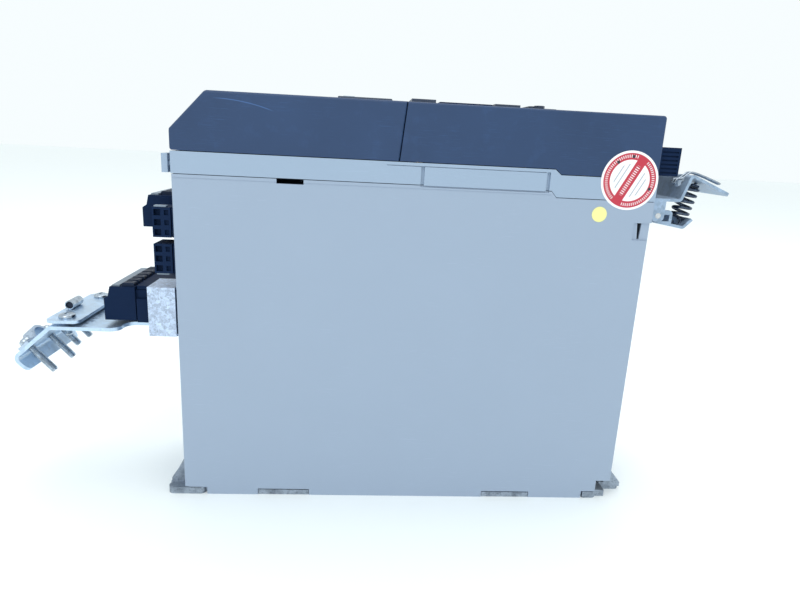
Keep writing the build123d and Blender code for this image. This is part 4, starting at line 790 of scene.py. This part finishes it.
@dataclass
class Screw:
    """Pan-head screw with a cross recess and a rolled thread; it replaces the plain CAD screws."""

    name: str
    node: str
    body: str
    axis: Triple
    head_height: float
    shank: float = 2.0
    pitch: float = 0.7
    thread_depth: float = 0.32
    recess_depth: float = 1.3
    recess_width: float = 0.95
    columns: int = 56

    def places(self) -> list[tuple[np.ndarray, float, float]]:
        """Head top, length and head radius of each screw, read from the node's own points.

        Returns:
            One (top, length, head radius) for each of the two screws.
        """
        mesh = frame["nodes"][self.node].data
        points = np.empty(len(mesh.vertices) * 3)
        mesh.vertices.foreach_get("co", points)
        points = points.reshape(-1, 3) / MM
        axis = unit(np.array(self.axis))
        cross = np.cross(axis, (0.0, 1.0, 0.0))
        middle_y = (points[:, 1].min() + points[:, 1].max()) / 2
        found = []
        for group in (points[points[:, 1] < middle_y], points[points[:, 1] > middle_y]):
            along, over, y = group @ axis, group @ cross, group[:, 1]
            top = (axis * along.max() + cross * (over.min() + over.max()) / 2
                   + np.array([0.0, (y.min() + y.max()) / 2, 0.0]))
            found.append((top, float(np.ptp(along)), float(np.ptp(y)) / 2))
        return found

    def profile(self, length: float, head: float) -> np.ndarray:
        """Radius and height over the rows and columns.

        The shank's radius is shank - depth·|2·frac(height/pitch - angle/turn) - 1|, fading to a point at the tip.
        The head's side is a quarter ellipse, and its top sinks by the recess where |x| or |y| is under half
        the recess's width.

        Args:
            length: Whole length with the head.
            head: Radius of the head.

        Returns:
            Array of rows, columns and the two values.
        """
        angle = np.arange(self.columns) / self.columns
        low, seat = -length, -self.head_height
        heights = np.arange(low + 0.7, seat - 0.05, self.pitch / 6)
        wave = np.abs(2 * ((heights[:, None] / self.pitch - angle) % 1.0) - 1)
        fade = np.clip((seat - 0.4 - heights) / 0.6, 0, 1)[:, None]
        thread = self.shank - self.thread_depth * wave * fade
        rows = [np.zeros(self.columns), np.full(self.columns, self.shank - self.thread_depth - 0.35)]
        levels = [np.full(self.columns, low), np.full(self.columns, low)]
        rows += list(thread) + [np.full(self.columns, self.shank), np.full(self.columns, head - 0.15)]
        levels += list(np.broadcast_to(heights[:, None], thread.shape)) + [np.full(self.columns, seat)] * 2
        arc = np.linspace(0, math.pi / 2, 9)
        crown = 0.35 * self.head_height
        for step in arc:
            rows.append(np.full(self.columns, head - 0.55 * head * 0.3 * (1 - math.cos(step))))
            levels.append(np.full(self.columns, seat + 0.15 + (self.head_height - crown - 0.15) * math.sin(step)))
        rim = rows[-1][0]
        for share in np.linspace(1, 0, 26)[1:]:
            radius = rim * share
            x, y = radius * np.cos(angle * FULL_TURN), radius * np.sin(angle * FULL_TURN)
            arm = 0.58 * rim
            inside = np.maximum(
                np.clip((self.recess_width / 2 - np.abs(x)) / 0.12 + 0.5, 0, 1) * (np.abs(y) < arm),
                np.clip((self.recess_width / 2 - np.abs(y)) / 0.12 + 0.5, 0, 1) * (np.abs(x) < arm))
            rows.append(np.full(self.columns, radius))
            levels.append(-crown * share ** 2 - inside * self.recess_depth)
        return np.stack([np.array(rows), np.array(levels)], -1)

    def build(self, material: bpy.types.Material) -> bpy.types.Object:
        """Makes the screws of the node as one piece.

        Args:
            material: Their finish.

        Returns:
            The piece.
        """
        screws = [turned(top, np.array(self.axis), self.profile(length, head), self.columns)
                  for top, length, head in self.places()]
        piece = make_piece(self.name, screws, material, self.body, 50.0)
        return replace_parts(piece, self.node)


@dataclass
class ShieldEnd:
    """Left end: terminal bracket, shield plate with its cable clamps, their screws and a metal sleeve with a dark rod
    in its bore as painted shade.
    """

    sleeve_radius: float = 2.6
    sleeve_bore: float = 2.0
    sleeve_inset: float = 3.6
    sleeve_y: tuple[float, float] = (-8.0, 4.0)

    def sleeve(self) -> list[Surface]:
        """Short metal sleeve lying across the strain-relief bar near its outer edge, and a dark rod inside it as
        painted shade of the bore.

        Profile of the sleeve: bore, rounded rims, outside. The dark rod, painted shade in the bore, is a plain rod a
        little inside the near rim.

        Returns:
            The sleeve and the dark rod of painted shade.
        """
        low, high = box_mm("strain_bar")
        length = self.sleeve_y[1] - self.sleeve_y[0]
        outer, bore = self.sleeve_radius, self.sleeve_bore
        base = np.array([low[0] + self.sleeve_inset, self.sleeve_y[0], high[2] + outer - 0.05])
        along, up = np.array([0.0, 1.0, 0.0]), (0.0, 0.0, 1.0)
        shell = np.array([(bore, length), (bore, 0.15), (bore + 0.15, 0.0), (outer - 0.15, 0.0), (outer, 0.15),
                          (outer, length - 0.15), (outer - 0.15, length), (bore, length)])
        # The core is a dark rod that stands in for the shade inside the sleeve's bore.
        core = np.array([(0.0, 0.0), (bore + 0.02, 0.0), (bore + 0.02, length - 2.0), (0.0, length - 2.0)])
        return [turned(base, along, shell, 32, side=up), turned(base + along * 1.2, along, core, 32, side=up)]

    def build(self) -> None:
        """Dresses the sheet parts and makes the threaded screws."""
        dress(ZincSheet("spangled_zinc", (0.482, 0.571, 0.74), 1.3, 0.4, 0.42, metal=0.75).make(), "terminal_bracket")
        dress(ZincSheet("bright_zinc", (0.53, 0.67, 0.83), 3.0, 0.14, 0.3, 0.16).make(), "shield_plate", "strain_bar")
        dress(ZincSheet("clamp_zinc", (0.45, 0.54, 0.66), 1.6, 0.2, 0.26, 0.1).make(), "near_saddle", "far_saddle")
        steel = PlatedSteel("screw_zinc", (0.5, 0.58, 0.67), 0.24, 0.45).make()
        lift = next(joint["axis"] for joint in frame["joints"] if joint["name"] == "near_clamp_lift")
        out = tuple(float(part) for part in lift)
        Screw("near_clamp_screws", "near_saddle_screws", "near_cable_clamp", out, 3.0).build(steel)
        Screw("far_clamp_screws", "far_saddle_screws", "far_cable_clamp", out, 3.0).build(steel)
        Screw("strain_relief_screws", "strain_bar_screws", "strain_relief", (0.0, 0.0, 1.0), 2.6).build(steel)
        # Near-black finish of the rod in the sleeve: painted shade of the bore.
        shade_rod_finish = MouldedPlastic("sleeve_rubber", (0.012, 0.02, 0.04), 0.6, 0.3, gloss=0.3).make()
        shell, core = self.sleeve()
        make_piece("cable_sleeve", [shell], steel, "strain_relief")
        # The dark rod inside the sleeve is painted shade of its bore.
        make_piece("cable_sleeve_rubber", [core], shade_rod_finish, "strain_relief")


@dataclass
class TerminalEnd:
    """Plugs and headers of the left end, with clamp cages in the wire entries and light marker strips."""

    cage_wall: float = 0.25
    cage_depth: float = 7.0
    strip: Triple = (6.2, 3.6, 0.9)
    strip_inset: tuple[float, float] = (0.8, 0.6)
    entry_rise: float = 6.2
    pitch: float = 7.62
    cage_size: float = 3.4
    cage_inset: float = 1.2

    def cages(self, node: str, poles: int) -> list[Surface]:
        """Square clamp cages just inside the wire entries of a plug.

        Each is a square tube: point(t, c) = corner c of the outer square on the way in, and of the inner one back.

        Args:
            node: The plug.
            poles: Number of entries.

        Returns:
            The cages.
        """
        low, high = box_mm(node)
        size = self.cage_size
        x, middle, z = low[0] + self.cage_inset, (low[1] + high[1]) / 2, low[2] + self.entry_rise
        corners = np.array([(-1, -1), (1, -1), (1, 1), (-1, 1)]) / 2
        steps = [(0.0, size), (self.cage_depth, size), (self.cage_depth, size - 2 * self.cage_wall),
                 (0.0, size - 2 * self.cage_wall)]
        found = []
        for pole in range(poles):
            y = middle + (pole - (poles - 1) / 2) * self.pitch
            rows = [np.column_stack([np.full(4, x + reach), y + corners[:, 0] * wide, z + corners[:, 1] * wide])
                    for reach, wide in steps]
            found.append(Surface(np.stack(rows), loop=True))
        return found

    def build(self) -> None:
        """Dresses the plugs and adds the cages and strips."""
        black = MouldedPlastic("terminal_black", (0.005, 0.016, 0.05), 0.6, 0.35, wear=0.05, wear_tint=2.4,
                               gloss=0.08).make()
        lever = MouldedPlastic("lever_black", (0.008, 0.018, 0.045), 0.45, 0.3, wear=0.08, wear_tint=2.4,
                               gloss=0.2).make()
        strip = MouldedPlastic("marker_strip", (0.17, 0.22, 0.28), 0.42, wear=0.1, wear_tint=1.8, mottle=0.2).make()
        dress(black, "motor_header", "motor_plug", "mains_header", "mains_plug", "aux_headers", "lower_aux_plug",
              "upper_aux_plug", "control_header", "control_plug", "io_headers", "near_io_plug", "far_io_plug")
        dress(lever, "motor_plug_levers", "mains_plug_levers")
        dress(strip, "motor_plug_strip", "mains_plug_strip")
        steel = PlatedSteel("cage_steel", (0.55, 0.56, 0.57), 0.35).make()
        for node, poles in (("motor_plug", 6), ("mains_plug", 5)):
            make_piece(node + "_cages", self.cages(node, poles), steel, node)
        for node, above in (("upper_aux_plug", True), ("lower_aux_plug", False)):
            low, high = box_mm(node)
            z = high[2] if above else low[2] - self.strip[2]
            start = (low[0] + self.strip_inset[0], low[1] + self.strip_inset[1], z)
            end = (start[0] + self.strip[0], start[1] + self.strip[1], z + self.strip[2])
            make_piece(node + "_strip", rounded_box(start, end, 0.25), strip, node)


@dataclass
class ControlEnd:
    """Right end: stepped bracket, clamp lever and its two tension springs."""

    coil_radius: float = 4.4
    wire: float = 0.82
    turns: float = 5.5
    top: Triple = (150.7, 20.5, 185.2)
    bottom: Triple = (146.2, 20.5, 167.2)
    hook_radius: float = 2.3
    hanger_half: float = 1.6

    def spring(self, side: Side) -> list[Surface]:
        """One spring: a coil with a hook at each end.

        Coil: path(t) = bottom + axis·t·length + radius·(cos, sin)(turns·t). A hook is three quarters of a circle
        in the plane of the axis: path(a) = centre + r·(cos a·out + sin a·axis).

        Args:
            side: Which of the two springs.

        Returns:
            The wires.
        """
        top = np.array(self.top) * (1, side.value, 1)
        bottom = np.array(self.bottom) * (1, side.value, 1)
        length = float(np.linalg.norm(top - bottom))
        axis = (top - bottom) / length
        over = np.array([0.0, 1.0, 0.0])
        out = np.cross(over, axis)
        t = np.linspace(0, 1, int(self.turns * 28))[:, None]
        a = t * self.turns * FULL_TURN
        radial = np.cos(a) * out + np.sin(a) * over
        coil = bottom + axis * t * length + self.coil_radius * radial
        wires = [tube(coil, self.wire, radial)]
        for end, sense in ((bottom, -1), (top, 1)):
            h = np.linspace(-math.pi / 2, math.pi, 30)[:, None]
            centre = end + axis * sense * self.hook_radius
            hook = centre + self.hook_radius * (np.cos(h) * out + np.sin(h) * axis * sense)
            arm = np.linspace(end + self.coil_radius * out, hook[0], 8)[:-1]
            wires.append(tube(np.concatenate([arm, hook]), self.wire, over))
        return wires

    def hanger(self, side: Side) -> Surface:
        """Hairpin wire that holds a spring: down through the notch of the riser, and out above the flange.

        The middle line passes through its points as a Catmull-Rom curve:
        p(t) = (2b + (c - a)t + (2a - 5b + 4c - d)t² + (3b - a - 3c + d)t³) / 2.

        Args:
            side: Which of the two springs.

        Returns:
            The wire.
        """
        y, half = self.top[1] * side.value, self.hanger_half
        crest = self.top[0] - 5.1
        leg = np.array([(-3.6, -5.8), (-5.2, -4.4), (-4.2, -2.9), (-1.4, -2.4), (0.9, -0.3), (4.0, 1.0),
                        (12.0, -1.2), (19.4, -3.9)])
        leg = leg + (crest, self.top[2] + 5.6)
        near = np.column_stack([leg[:, 0], np.full(len(leg), y - half), leg[:, 1]])
        far = near[::-1] + (0.0, 2 * half, 0.0)
        tip = np.array([[near[-1][0] + 1.2, y, near[-1][2] - 0.5]])
        points = np.concatenate([near[:1], near, tip, far, far[-1:]])
        a, b, c, d = (points[k:len(points) - 3 + k, None] for k in range(4))
        t = np.linspace(0, 1, 9)[:-1, None]
        line = (2 * b + (c - a) * t + (2 * a - 5 * b + 4 * c - d) * t ** 2 + (3 * b - a - 3 * c + d) * t ** 3) / 2
        return tube(line.reshape(-1, 3), self.wire * 0.7, np.array([0.25, 0.1, 1.0]), 10)

    def build(self) -> None:
        """Dresses the bracket and lever, and makes the springs that run between them."""
        sheet = ZincSheet("bracket_zinc", (0.3, 0.4, 0.53), 2.4, 0.24, 0.4, 0.14, metal=0.3).make()
        dress(sheet, "clip_bracket", "clamp_lever")
        steel = PlatedSteel("spring_steel", (0.085, 0.11, 0.16), 0.28, 0.5).make()
        hooks = PlatedSteel("hanger_steel", (0.42, 0.48, 0.56), 0.26, 0.4).make()
        for side in Side:
            make_piece(f"{side.name.lower()}_spring_hanger", [self.hanger(side)], hooks, "drive")
        for side in Side:
            piece = make_piece(f"{side.name.lower()}_clamp_spring", self.spring(side), steel, "")
            if side is Side.NEAR:
                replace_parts(piece, "clamp_springs")
            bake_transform(piece)


@dataclass
class FrontSockets:
    """Data sockets, feedback socket and signal plugs of the right cover, with their contacts."""

    contacts: int = 8
    contact_pitch: float = 1.02
    wire: float = 0.2

    def comb(self, node: str) -> list[Surface]:
        """Spring contacts of a pair of sockets: wires that lean back into the opening as they go down.

        path(t) = (x0 + 3.2·t^1.5, y, top - 2 - 7·t) for each contact.

        Args:
            node: The pair of sockets.

        Returns:
            The wires.
        """
        low, high = box_mm(node)
        x = (low[0] + high[0]) / 2 - 4.0
        t = np.linspace(0, 1, 14)
        wires = []
        for socket_y in (-8.1, 8.1):
            for contact in range(self.contacts):
                y = socket_y + (contact - (self.contacts - 1) / 2) * self.contact_pitch
                path = np.column_stack([x + 3.2 * t ** 1.5, np.full(14, y), high[2] - 2.0 - 7.0 * t])
                wires.append(tube(path, self.wire, np.array([0.0, 1.0, 0.0]), 8))
        return wires

    def feedback_pins(self) -> list[Surface]:
        """Two rows of pins with domed ends in the feedback socket, over a dark insert."""
        low, high = box_mm("feedback_socket")
        middle = (low[0] + high[0]) / 2
        floor = high[2] - 5.0
        profile = np.array([(0.0, 0.0), (0.5, 0.0), (0.5, 3.0), (0.35, 3.4), (0.0, 3.55)])
        pins = []
        for row, count in ((-1.4, 8), (1.4, 7)):
            for pin in range(count):
                base = np.array([middle + row, (pin - (count - 1) / 2) * 2.74, floor + 0.2])
                pins.append(turned(base, np.array([0.0, 0.0, 1.0]), profile, 14))
        return pins

    def build(self) -> None:
        """Dresses the sockets and adds contacts, pins and insert."""
        shield = PlatedSteel("port_shield", (0.085, 0.105, 0.15), 0.4).make()
        gold = PlatedSteel("contact_gold", (0.85, 0.6, 0.25), 0.22).make()
        dress(shield, "bus_ports", "drive_ports", "feedback_socket")
        for node in ("bus_ports", "drive_ports"):
            make_piece(node + "_contacts", self.comb(node), gold, "drive")
        make_piece("feedback_pins", self.feedback_pins(), gold, "drive")
        low, high = box_mm("feedback_socket")
        middle = (low[0] + high[0]) / 2
        insert = rounded_box((middle - 3.4, -11.6, high[2] - 5.6), (middle + 3.4, 11.6, high[2] - 4.6), 0.3)
        black = MouldedPlastic("insert_black", (0.015, 0.016, 0.02), 0.5).make()
        make_piece("feedback_insert", insert, black, "drive")


@dataclass
class OperatorPanel:
    """Raised panel with a five-digit display behind a tinted window and four marked keys."""

    digits: int = 5
    digit_pitch: float = 6.4
    digit: tuple[float, float] = (3.6, 6.6)
    bar: float = 0.75
    marks: tuple[Sign, ...] = (Sign.RETURN, Sign.DOWN, Sign.UP, Sign.ENTER)

    def segments(self) -> list[Surface]:
        """Seven bars for each digit, each a long hexagon; digits run along Y and stand along -X."""
        low, high = box_mm("display_module")
        window_low, window_high = box_mm("display_window")
        top = high[2]
        middle_x = (window_low[0] + window_high[0]) / 2
        wide, tall = self.digit
        bars = [(0, 0, True), (0, tall / 2, True), (0, -tall / 2, True), (-wide / 2, tall / 4, False),
                (wide / 2, tall / 4, False), (-wide / 2, -tall / 4, False), (wide / 2, -tall / 4, False)]
        found = []
        for number in range(self.digits):
            y0 = (number - (self.digits - 1) / 2) * self.digit_pitch
            for across, up, level in bars:
                half = (wide if level else tall / 2) / 2 - 0.25
                b = self.bar / 2
                shape = np.array([(-half, 0), (-half + b, -b), (half - b, -b), (half, 0),
                                  (half - b, b), (-half + b, b)])
                if not level:
                    shape = shape[:, ::-1]
                xy = np.column_stack([middle_x - up - shape[:, 1], y0 + across + shape[:, 0]])
                found.append(slab(xy, top - 0.02, top + 0.1, 0.04))
        return found

    def mark(self, sign: Sign) -> np.ndarray:
        """Outline of a key mark round the origin, as X and Y."""
        if sign in (Sign.UP, Sign.DOWN):
            turn = 1 if sign is Sign.UP else -1
            return np.array([(-1.5 * turn, 0.0), (0.9 * turn, -1.5), (0.9 * turn, 1.5)])
        a = np.arange(24) * FULL_TURN / 24
        if sign is Sign.ENTER:
            return 1.25 * np.column_stack([np.cos(a), np.sin(a)])
        return np.array([(-1.1, -1.1), (1.1, -1.1), (1.1, 1.1), (-1.1, 1.1)])

    def build(self) -> None:
        """Dresses the panel and adds the display segments and key marks."""
        dress(MouldedPlastic("panel_dark", (0.04, 0.06, 0.1), 0.42, wear=0.08, wear_tint=1.8).make(),
              "operator_panel")
        dress(TintedWindow("window_tint", (0.32, 0.4, 0.44)).make(), "display_window")
        dress(MouldedPlastic("display_black", (0.008, 0.012, 0.015), 0.16, 0.3, 0.002, coat=0.5).make(),
              "display_module")
        keys = [f"key_{number}" for number in range(1, 5)]
        dress(MouldedPlastic("key_grey", (0.3, 0.37, 0.45), 0.5, wear=0.08, wear_tint=0.75).make(), *keys)
        ghost = MouldedPlastic("segment_grey", (0.11, 0.12, 0.12), 0.3, 0.3, 0.002).make()
        make_piece("display_segments", self.segments(), ghost, "drive")
        print_grey = MouldedPlastic("mark_print", (0.03, 0.04, 0.06), 0.5).make()
        for key, sign in zip(keys, self.marks):
            low, high = box_mm(key)
            middle = (low + high) / 2
            mark = slab(self.mark(sign) + middle[:2], high[2] - 0.05, high[2] + 0.08, 0.05)
            make_piece(key + "_mark", [mark], print_grey, key)


@dataclass
class Labels:
    """Round seal and round dot on the near side."""

    def build(self) -> None:
        """Dresses the labels."""
        low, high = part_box("inspection_seal")
        centre = tuple((a + b) / 2 for a, b in zip(low, high))
        dress(PrintedSeal("printed_seal", centre).make(), "inspection_seal")
        dress(PlainPaper("dot_yellow", (0.87, 0.83, 0.33)).make(), "dot_label")


@dataclass
class Studio:
    """Floor, soft light and camera."""

    floor_half: float = 6.0
    floor_colour: Colour = (0.94, 0.98, 0.98)
    eye: Triple = (-29.303, -344.603, 199.181)
    right: Triple = (0.99700137, -0.05908672, 0.05002276)
    down: Triple = (0.03339267, -0.25486853, -0.96637961)
    ahead: Triple = (0.06985075, 0.96514407, -0.25213076)
    lens: float = 27.0

    def build(self) -> None:
        """Makes the floor, the lights, the pale surroundings and the camera."""
        self.make_floor()
        self.make_light("front_light", (-0.5, -1.3, 1.3), (0.0, 0.0, 0.1), 1.2, 9.0)
        self.make_light("top_light", (0.2, 0.3, 1.8), (0.0, 0.0, 0.1), 1.4, 9.0)
        world = bpy.data.worlds.new("pale_room")
        world.use_nodes = True
        ground = world.node_tree.nodes["Background"]
        ground.inputs["Color"].default_value = (0.93, 0.985, 1.0, 1.0)
        ground.inputs["Strength"].default_value = 1.0
        scene = bpy.context.scene
        scene.world = world
        scene.view_settings.view_transform = "Standard"
        self.make_camera()

    def make_floor(self) -> None:
        """Wide pale floor at height 0."""
        line = np.linspace(-self.floor_half, self.floor_half, 13)
        x, y = np.meshgrid(line, line, indexing="ij")
        mesh = bpy.data.meshes.new("floor")
        mesh.from_pydata(np.stack([x, y, np.zeros_like(x)], -1).reshape(-1, 3), [],
                         Surface(np.stack([x, y, x], -1), ring=False).faces())
        floor = bpy.data.objects.new("floor", mesh)
        bpy.context.scene.collection.objects.link(floor)
        r = Recipe("floor_pale")
        cloud = r.noise(r.place(), 260.0, 2.0)
        r.set(Base_Color=r.mix(cloud, shade(self.floor_colour, 0.99), self.floor_colour), Roughness=0.6)
        mesh.materials.append(r.material)

    def make_light(self, name: str, place: Triple, target: Triple, size: float, power: float) -> None:
        """Adds one soft light.

        Args:
            name: Its name.
            place: Where it stands, in metres.
            target: Where it points.
            size: Its width and height in metres.
            power: Its power in watts.
        """
        light = bpy.data.lights.new(name, "AREA")
        light.shape, light.size, light.energy = "SQUARE", size, power
        lamp = bpy.data.objects.new(name, light)
        ahead = unit(np.subtract(target, place))
        side = unit(np.cross(ahead, (0.0, 0.0, 1.0)))
        axes = np.column_stack([side, np.cross(side, ahead), -ahead])
        lamp.matrix_world = Matrix([[*axes[i], place[i]] for i in range(3)] + [[0, 0, 0, 1]])
        bpy.context.scene.collection.objects.link(lamp)

    def make_camera(self) -> None:
        """Adds the camera from its place and its three axes."""
        data = bpy.data.cameras.new("camera")
        data.lens, data.sensor_width, data.clip_start = self.lens, 36.0, 0.01
        camera = bpy.data.objects.new("camera", data)
        axes = np.column_stack([unit(np.array(self.right)), -unit(np.array(self.down)), -unit(np.array(self.ahead))])
        camera.matrix_world = Matrix([[*axes[i], self.eye[i] * MM] for i in range(3)] + [[0, 0, 0, 1]])
        bpy.context.scene.collection.objects.link(camera)
        bpy.context.scene.camera = camera


def main() -> None:
    """Builds every sub-assembly in order and reports its pieces."""
    logging.basicConfig(level=logging.INFO, format="%(message)s")
    for part in (Housing(), PowerSection(), ShieldEnd(), TerminalEnd(), ControlEnd(), FrontSockets(),
                 OperatorPanel(), Labels(), Studio()):
        before = set(bpy.data.objects)
        part.build()
        new = sorted(piece.name for piece in set(bpy.data.objects) - before)
        log.info("%s: %s", type(part).__name__, ", ".join(new) or "dressed")


if __name__ == "__main__":
    main()
